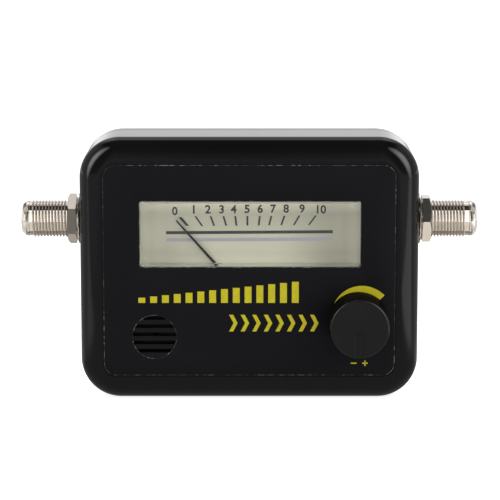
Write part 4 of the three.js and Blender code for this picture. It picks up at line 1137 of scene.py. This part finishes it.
class METER_OT_sockets(bpy.types.Operator):
    """Turn the two threaded sockets with their helical thread and rounded nose"""
    bl_idname = "meter.sockets"
    bl_label = "Sockets"

    def execute(self, context):
        socket = context.scene.meter_socket
        tip = BODY_HIGH.x
        wall = CASE_HIGH.x - 2.22 * MM
        stub, flange_back, shank = wall - 3.8 * MM, wall - 1.5 * MM, 4.1 * MM
        shoulder = tip - socket.nose_length
        relief = 0.12 * MM
        profile = [(socket.bore, stub), (shank, stub), (shank, flange_back), (socket.flange, flange_back),
                   (socket.flange, wall), (socket.root, wall), (socket.root, shoulder - relief),
                   (socket.nose - 0.02 * MM, shoulder - 0.03 * MM), (socket.nose, shoulder),
                   (socket.nose, shoulder + 0.04 * MM), (socket.nose, tip - socket.nose_bow - 0.03 * MM)]
        profile += [(socket.nose - socket.nose_round * (1 - math.cos(angle)),
                     tip - socket.nose_bow * (1 - math.sin(angle))) for angle in quarter(12)]
        profile += [(socket.bore + relief, tip), (socket.bore, tip - relief), (socket.bore, stub)]
        body = socket_turned("connector_right", profile, socket.steps)
        thread = self.thread(socket, CASE_HIGH.x + 0.3 * MM, shoulder - relief)
        prong = block("prong", (31.4 * MM, 4.9 * MM, SOCKET_Z + 1.1 * MM),
                      (wall - 0.75 * MM, 5.7 * MM, SOCKET_Z + 3.1 * MM))
        combine(body, "UNION", thread, prong)
        smooth(body, 44)
        left = copied(body, "connector_left", (0, 0, 0))
        swung(left, math.pi, "Z")
        for side, obj in (("right", body), ("left", left)):
            hand_over(obj, "nickel", "nickel", f"connector_body_{side}")
        return {"FINISHED"}

    def thread(self, socket, start, end):
        """One ridge with a rounded crest, wound as a helix, its root sunk into the core."""
        sunk = socket.root - 0.12 * MM
        turns = int((end - start) / socket.pitch)
        first = end - turns * socket.pitch
        rise = [(0.46, 0), (0.27, 0.5), (0.19, 0.74), (0.12, 0.91), (0.04, 1)]
        sides = [(-aside, share) for aside, share in rise] + rise[::-1]
        places = [(sunk + (socket.crest - sunk) * share, aside * socket.pitch) for aside, share in sides]
        ridge = pen("thread", [SOCKET_AXIS + RIGHT * (first + along) + UP * reach
                               for reach, along in places])
        bpy.ops.mesh.edge_face_add()
        leave_edit()
        take(ridge)
        cursor = bpy.context.scene.cursor
        cursor.location = SOCKET_AXIS
        bpy.ops.object.origin_set(type="ORIGIN_CURSOR")
        cursor.location = (0, 0, 0)
        shape_with(ridge, "SCREW", axis="X", steps=44, render_steps=44, iterations=turns - 1,
                   screw_offset=socket.pitch, use_merge_vertices=False, use_normal_calculate=True)
        settle()
        pick(ridge, "EDGE", lambda edge: len(edge.link_faces) == 1)
        bpy.ops.mesh.fill_holes(sides=0)
        return closed(ridge)


class METER_OT_nuts(bpy.types.Operator):
    """Mill the two hexagon nuts with their round chamfer"""
    bl_idname = "meter.nuts"
    bl_label = "Socket nuts"

    def execute(self, context):
        socket = context.scene.meter_socket
        corner, flat, play = socket.flats / math.sqrt(3), socket.flats / 2, 0.05 * MM
        reach = corner + play
        for side, sign in SIDES.items():
            inner, outer = socket_ends(f"connector_nut_{side}")
            nut = socket_rod(f"socket_nut_{side}", corner, inner, outer, 6, sign)
            if side == "left":
                swung(nut, math.pi / 6, "X")
            cone = socket_turned("cone", [
                (0, inner), (reach - 0.25 * MM, inner), (reach, inner + 0.15 * MM),
                (reach, outer - socket.chamfer * 0.75), (flat - play, outer), (0, outer)], 72, sign)
            combine(nut, "INTERSECT", cone)
            combine(nut, "DIFFERENCE", socket_rod("bore", socket.hole, inner - MM, outer + MM, 64, sign))
            soften(nut, 0.07 * MM, angle=28)
            hand_over(nut, "nickel", "nickel", f"connector_nut_{side}")
        return {"FINISHED"}


class METER_OT_washers(bpy.types.Operator):
    """Stamp the toothed lock washers between the nuts and the case"""
    bl_idname = "meter.washers"
    bl_label = "Lock washers"

    facets = 96

    def execute(self, context):
        socket = context.scene.meter_socket
        bore, rim, thick = socket.hole, WASHER_HIGH.z - SOCKET_Z, socket.washer / 2
        ease, foot, bend = rim - 0.12 * MM, rim - 1.1 * MM, rim - 0.9 * MM
        for side, sign in SIDES.items():
            inner, outer = socket_ends(f"connector_washer_{side}")
            disc = inner + 0.62 * MM
            back, front = disc - thick, disc + thick
            washer = socket_turned(f"lock_washer_{side}", [
                (bore, inner), (foot, inner), (bend, back), (ease, back), (rim, disc - thick / 2),
                (rim, disc + thick / 2), (ease, front), (bend, front), (foot, outer), (bore, outer),
                (bore, inner)], self.facets, sign)
            self.set_teeth(washer, rim, sign)
            smooth(washer, 24)
            hand_over(washer, "zinc", "plated_steel", f"connector_washer_{side}")
        return {"FINISHED"}

    def set_teeth(self, washer, rim, sign):
        """Push every other run of the rim towards the case, as stamped teeth stand."""
        def on_tooth(vertex):
            place = vertex.co - SOCKET_AXIS
            turn = math.atan2(place.y, place.z) / math.tau * self.facets
            return math.hypot(place.y, place.z) > rim - 0.5 * MM and round(turn) % 6 in (0, 1, 2)
        pick(washer, "VERT", on_tooth)
        bpy.ops.transform.translate(value=(sign * -0.09 * MM, 0, 0))
        leave_edit()


class METER_OT_socket_cores(bpy.types.Operator):
    """Turn the sockets' white insulators and slit brass contacts"""
    bl_idname = "meter.socket_cores"
    bl_label = "Socket cores"

    def execute(self, context):
        outer, bore = 2.3 * MM, 1.0 * MM
        for side, sign in SIDES.items():
            node_name = f"connector_insulator_{side}"
            back, front = socket_ends(node_name)
            insulator = socket_turned(f"socket_insulator_{side}", [
                (bore, back), (outer, back), (outer, front - 0.2 * MM), (outer - 0.2 * MM, front),
                (bore + 0.35 * MM, front), (bore, front - 0.4 * MM), (bore, back)], 48, sign)
            smooth(insulator, 30)
            hand_over(insulator, "insulator", "white_insulator", node_name)
            self.contact(side, sign, back, front)
        return {"FINISHED"}

    def contact(self, side, sign, back, front):
        """The slit sleeve of one socket, with the leg that goes back to the board."""
        node_name = f"connector_contact_{side}"
        tail, mouth, hole, ease = 0.5 * MM, 0.88 * MM, 0.55 * MM, 0.1 * MM
        tip, bend = front - ease, socket_ends(node_name)[0] + tail
        deep, lip = tip - 9 * MM, 0.08 * MM
        sleeve = socket_turned(f"socket_contact_{side}", [
            (0, bend), (tail, bend), (tail, back), (mouth, back), (mouth, tip - ease), (mouth - ease, tip),
            (hole + lip, tip), (hole, tip - lip), (hole, deep), (0, deep - 0.3 * MM)], 32, sign)
        start, end = sorted(((tip + MM) * sign, (tip - 4 * MM) * sign))
        slit, reach = 0.09 * MM, 1.2 * MM
        slits = [block("slit", (start, -y, SOCKET_Z - z), (end, y, SOCKET_Z + z))
                 for y, z in ((slit, reach), (reach, slit))]
        leg_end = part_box(node_name)[1].y
        combine(sleeve, "UNION", rod("leg", (bend * sign, 0, SOCKET_Z), tail, 0, leg_end, 24))
        combine(sleeve, "DIFFERENCE", *slits)
        smooth(sleeve, 30)
        hand_over(sleeve, "contact", "brass", node_name)


class METER_OT_inner_finishes(bpy.types.Operator):
    """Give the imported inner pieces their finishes"""
    bl_idname = "meter.inner_finishes"
    bl_label = "Inner finishes"

    by_finish = {
        "dial": ["dial_plate"],
        "dark": ["meter_base", "buzzer_shell", "integrated_circuit", "transistor"],
        "lamp": ["meter_lamp_left", "meter_lamp_right"],
        "jewel": ["jewel_front", "jewel_rear"],
        "screw": ["board_screw_1", "board_screw_2", "pivot_front", "pivot_rear"],
        "steel": ["pot_frame", "pot_shell"],
        "insulator": ["pot_shaft"],
        "brass": ["bridge", "hairspring", "needle_weight", "core_spacer_upper", "core_spacer_lower",
                  "bridge_screw_left", "bridge_screw_right", "dial_screw_left", "dial_screw_right",
                  "meter_terminal_left", "meter_terminal_right", "pot_wiper"],
        "copper": ["moving_coil", "choke"],
        # The buzzer disc takes the dark iron finish instead of brass: painted shade behind the sound slots
        "iron": ["pole_ring", "core_magnet", "buzzer_disc"],
        "wafer": ["pot_track"],
        "board": ["circuit_board"],
        "sleeve": ["capacitor_1", "capacitor_2"],
        "lacquer": ["resistor_1"],
    }

    def execute(self, context):
        for finish, nodes in self.by_finish.items():
            for name in nodes:
                for place in frame["nodes"][name].material_slots:
                    place.material = finishes[finish]
        return {"FINISHED"}


class METER_OT_stage(bpy.types.Operator):
    """Set the pale floor, the soft boxes, the white surround and the camera"""
    bl_idname = "meter.stage"
    bl_label = "Stage"

    def execute(self, context):
        stage = context.scene.meter_stage
        self.lay_floor(stage)
        self.hang_boxes(stage)
        self.paint_surround(context.scene, stage)
        self.place_camera(context.scene)
        context.scene.view_settings.view_transform = "Standard"
        return {"FINISHED"}

    def lay_floor(self, stage):
        drop_picks()
        bpy.ops.mesh.primitive_plane_add(size=12, location=(0, 0, 0))
        floor = named("floor")
        material, tree = start_material("pale_floor")
        place = object_place(tree)
        mottle = noise(tree, place, 40.0, 4.0)
        colour = blend(tree, mottle, rgba(stage.floor, 0.99), rgba(stage.floor, 1.01))
        matt = node(tree, "BsdfDiffuse", {"Color": colour}).outputs[0]
        glow = node(tree, "Emission", {"Color": grey(1), "Strength": 0.8}).outputs[0]
        path = node(tree, "LightPath").outputs
        seen = node(tree, "MixShader", {0: path["Is Camera Ray"], 2: glow}).outputs[0]
        lit = node(tree, "AddShader", {0: matt, 1: seen}).outputs[0]
        table = node(tree, "Emission", {"Color": self.table_colour(tree, place)}).outputs[0]
        shown = choose(tree, path["Is Glossy Ray"], lit, table)
        clear = node(tree, "BsdfTransparent").outputs[0]
        finish_material(tree, choose(tree, path["Is Transmission Ray"], shown, clear))
        floor.data.materials.append(material)

    def table_colour(self, tree, place):
        """What gloss shows of the floor: painted shade before the case, painted light beside and behind it.
        """
        parts = node(tree, "SeparateXYZ", {0: place}).outputs
        aside, deep = sums(tree, "ABSOLUTE", parts[0]), parts[1]
        right = span(tree, parts[0], -1, 1)
        corner = blend(tree, right, rgba((0.29, 0.285, 0.28)), rgba((0.36, 0.355, 0.35)))
        colour = rgba((0.22, 0.215, 0.21))
        # Each painted patch of light: its span aside, its span in depth and its colour
        for across, back, shade in (((75, 110), (-120, -60), rgba((0.33, 0.325, 0.32))),
                                    ((90, 180), (-170, -110, 1.0, 0.0), corner),
                                    ((75, 110, 1.0, 0.0), (0, 20), rgba((0.50, 0.48, 0.45))),
                                    ((105, 135), (800, 1100, 0.0, 0.8), grey(1.3))):
            patch = times(tree, span(tree, aside, *across), span(tree, deep, *back))
            colour = blend(tree, patch, colour, shade)
        # Painted light: a bright streak to each side
        skew = sums(tree, "MULTIPLY_ADD", aside, 0.204, sums(tree, "ADD", deep, 11.4 * MM))
        early = sums(tree, "ADD", skew, span(tree, parts[0], -1, 1, 0.0, 75 * MM))
        painted_streak = times(tree, span(tree, early, -60, -30), span(tree, skew, 0, 40, 1.0, 0.0),
                       span(tree, aside, 90, 120))
        return blend(tree, painted_streak, colour, blend(tree, right, grey(0.6), grey(1.05)))

    def hang_boxes(self, stage):
        """A soft box at each side with soft rims, and pale cards that only the bright metal shows."""
        connectors = ("connector_left", "connector_right")
        sockets = self.group("sockets", connectors)
        metal = self.group("bright_metal", connectors + ("socket_nut", "lock_washer"))
        black = self.group("moulded_pieces", ("front_shell", "rear_shell", "gain_knob", "front_label",
                                              "print_"))
        width, height = stage.box_width, stage.box_height
        for side, ahead, lean, wide in (("left", 0.27, 0.03, 1.0), ("right", 0.385, 0.06, 1.2)):
            sign = SIDES[side]
            heading = Vector((sign * 0.824, -ahead, 0.507)).normalized()
            along = Vector((sign * -0.565, lean, 0.813))
            corner = Vector((sign * 0.9 * CASE_HIGH.x, CASE_LOW.y, 0.92 * CASE_HIGH.z))
            place = corner + heading * stage.box_reach
            box = self.hang(f"soft_box_{side}", place, heading, along, (width, height), stage.box_power)
            box.visible_glossy = False
            # The rims hang one before the other: lamps in one plane would hide each other
            for index, share in enumerate((1.0, 0.8, 0.6, 0.4)):
                oval = (width * share * wide, height * share)
                power = stage.box_shine * math.pi * math.pi / 4 * oval[0] * oval[1]
                spot = place - heading * 6 * MM * (index + 1)
                rim = self.hang(f"box_rim_{side}_{index}", spot, heading, along, oval, power, black)
                rim.data.shape = "ELLIPSE"
                rim.visible_diffuse = False
            self.hang_cards(side, sign, sockets, metal)

    def hang_cards(self, side, sign, sockets, metal):
        """The pale cards of one side, with places and sizes in millimetres."""
        near, axis = CASE_HIGH.x / MM + 20.8, SOCKET_Z / MM
        for name, place, heading, size, level, takers in (
                ("front", (near, -100, axis + 41), -BACK, (19, 139), 1.6, sockets),
                ("brow", (near, -79, axis + 111), UP, (19, 42), 1.7, sockets),
                ("wing", (180, -100, axis + 41), -BACK, (150, 139), 0.42, sockets),
                ("crown", (225, -50, axis + 200), UP, (250, 200), 0.62, sockets),
                ("low", (180, 40, 1), -UP, (210, 420), 0.6, sockets),
                ("lane", (63, -91, 2), -UP, (26, 178), 0.76, metal),
                ("side", (200, 85, axis + 29), RIGHT * sign, (450, 106), 0.95, metal),
                ("top", (110, 240, 300), UP, (150, 350), 0.85, metal)):
            spot = Vector((sign * place[0], place[1], place[2])) * MM
            size = Vector(size) * MM
            along = BACK if abs(heading.z) > 0.5 else UP
            power = level * math.pi * size[0] * size[1]
            card = self.hang(f"card_{name}_{side}", spot, heading, along, size, power, takers)
            if name == "lane":
                card.rotation_euler.z += sign * 0.09
                card.data.color = (1.04, 0.99, 0.92)

    def group(self, name, starts):
        made = bpy.data.collections.new(name)
        for obj in bpy.data.objects:
            if obj.type == "MESH" and obj.name.startswith(starts):
                made.objects.link(obj)
        return made

    def hang(self, name, place, heading, along, size, power, takers=None):
        """An area lamp that faces back along its heading, and that the camera doesn't see."""
        along = (along - heading * along.dot(heading)).normalized()
        axes = Matrix((along.cross(heading), along, heading)).transposed()
        bpy.ops.object.light_add(type="AREA", location=place, rotation=axes.to_euler())
        lamp = bpy.context.object
        lamp.name = name
        lamp.data.shape = "RECTANGLE"
        lamp.data.size, lamp.data.size_y = size
        lamp.data.energy = power
        lamp.visible_camera = False
        lamp.visible_transmission = False
        if takers:
            lamp.light_linking.receiver_collection = takers
        return lamp

    def paint_surround(self, scene, stage):
        """White for the camera; a studio with a white wall behind for what is reflected."""
        world = scene.world or bpy.data.worlds.new("surround")
        scene.world = world
        world.use_nodes = True
        tree = world.node_tree
        tree.nodes.clear()
        parts = node(tree, "SeparateXYZ", {0: node(tree, "TexCoord").outputs["Generated"]}).outputs
        aside, deep, high = sums(tree, "ABSOLUTE", parts[0]), parts[1], parts[2]
        front = self.levels(tree, high, [(-1, 0.25), (-0.02, 0.25), (0.06, 0.21), (0.2, 0.155), (0.36, 0.13),
                                         (0.54, 0.10), (0.74, 0.05), (1, 0.03)])
        front = scaled(tree, front, times(tree, ramp(tree, aside, 1.0, 1.5, 0.035, 0.066),
                                          ramp(tree, aside, 1.0, 0.3, 0.12, 0.4)))
        wall = self.levels(tree, high, [(-1, 0.96), (0.14, 0.96), (0.32, 0.5), (0.5, 0.29), (0.69, 0.48),
                                        (0.82, 0.7), (1, 0.7)])
        wall = scaled(tree, wall, times(tree, ramp(tree, aside, 1.0, 1.4, 0.1, 0.16),
                                        ramp(tree, aside, 1.0, 0.3, 0.22, 0.55)))
        field = blend(tree, ramp(tree, deep, 0.0, 1.0, 0.47, 0.52), front, wall)
        side = times(tree, ramp(tree, aside, 0.0, 1.0, 0.45, 0.65), ramp(tree, deep, 0.0, 1.0, -0.15, 0.15))
        field = blend(tree, side, field, grey(0.31))
        soft, mirrored, white = [
            node(tree, "Background", {"Color": colour, "Strength": strength}).outputs[0]
            for colour, strength in ((grey(1), stage.room), (field, 1.0), (grey(1), 1.0))]
        path = node(tree, "LightPath").outputs
        plain = sums(tree, "MAXIMUM", path["Is Camera Ray"], path["Is Transmission Ray"])
        first = choose(tree, path["Is Glossy Ray"], soft, mirrored)
        node(tree, "OutputWorld", {"Surface": choose(tree, plain, first, white)})

    def levels(self, tree, height, table):
        """Grey levels by height, from -1 straight down to 1 straight up."""
        made = node(tree, "ValToRGB", {0: sums(tree, "MULTIPLY_ADD", height, 0.5, 0.5)})
        stops = made.color_ramp.elements
        while len(stops) < len(table):
            stops.new(0.5)
        for stop, (place, level) in zip(stops, table):
            stop.position = place / 2 + 0.5
            stop.color = grey(level)
        return made.outputs[0]

    def place_camera(self, scene):
        """The photo's camera: half a metre away, a little above, and turned down to the case."""
        reach, rise, tilt = 0.573, 0.06586, math.radians(80.54)
        bpy.ops.object.camera_add(location=(0.00017, -reach, CASE_HIGH.z + rise), rotation=(tilt, 0, 0))
        camera = bpy.context.object
        camera.name = "photo_camera"
        camera.data.lens = 166.1
        camera.data.sensor_width = 36
        camera.data.clip_start = 0.01
        scene.camera = camera


OPERATORS = (METER_OT_front_shell, METER_OT_rear_shell, METER_OT_case_screws, METER_OT_label,
             METER_OT_label_print, METER_OT_window, METER_OT_dial, METER_OT_needle, METER_OT_knob,
             METER_OT_sockets, METER_OT_nuts, METER_OT_washers, METER_OT_socket_cores,
             METER_OT_inner_finishes, METER_OT_stage)
SETTINGS = {"meter_case": MeterCase, "meter_label": MeterLabel, "meter_dial": MeterDial,
            "meter_knob": MeterKnob, "meter_socket": MeterSocket, "meter_stage": MeterStage}


class METER_PT_panel(bpy.types.Panel):
    """Sizes, colours and pieces of the meter"""
    bl_label = "Signal meter"
    bl_idname = "METER_PT_panel"
    bl_space_type = "VIEW_3D"
    bl_region_type = "UI"
    bl_category = "Meter"

    def draw(self, context):
        for operator in OPERATORS:
            self.layout.operator(operator.bl_idname)
        for name, group in SETTINGS.items():
            box = self.layout.box()
            for field in group.__annotations__:
                box.prop(getattr(context.scene, name), field)


def register():
    for kind in (*SETTINGS.values(), *OPERATORS, METER_PT_panel):
        bpy.utils.register_class(kind)
    for name, group in SETTINGS.items():
        setattr(bpy.types.Scene, name, PointerProperty(type=group))


def unregister():
    for name in SETTINGS:
        delattr(bpy.types.Scene, name)
    for kind in reversed((*SETTINGS.values(), *OPERATORS, METER_PT_panel)):
        bpy.utils.unregister_class(kind)


def main():
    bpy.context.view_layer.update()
    register()
    make_effects()
    finishes.update(make_materials())
    for operator in OPERATORS:
        group, name = operator.bl_idname.split(".")
        getattr(getattr(bpy.ops, group), name)()
    drop_picks()


if __name__ == "__main__":
    main()
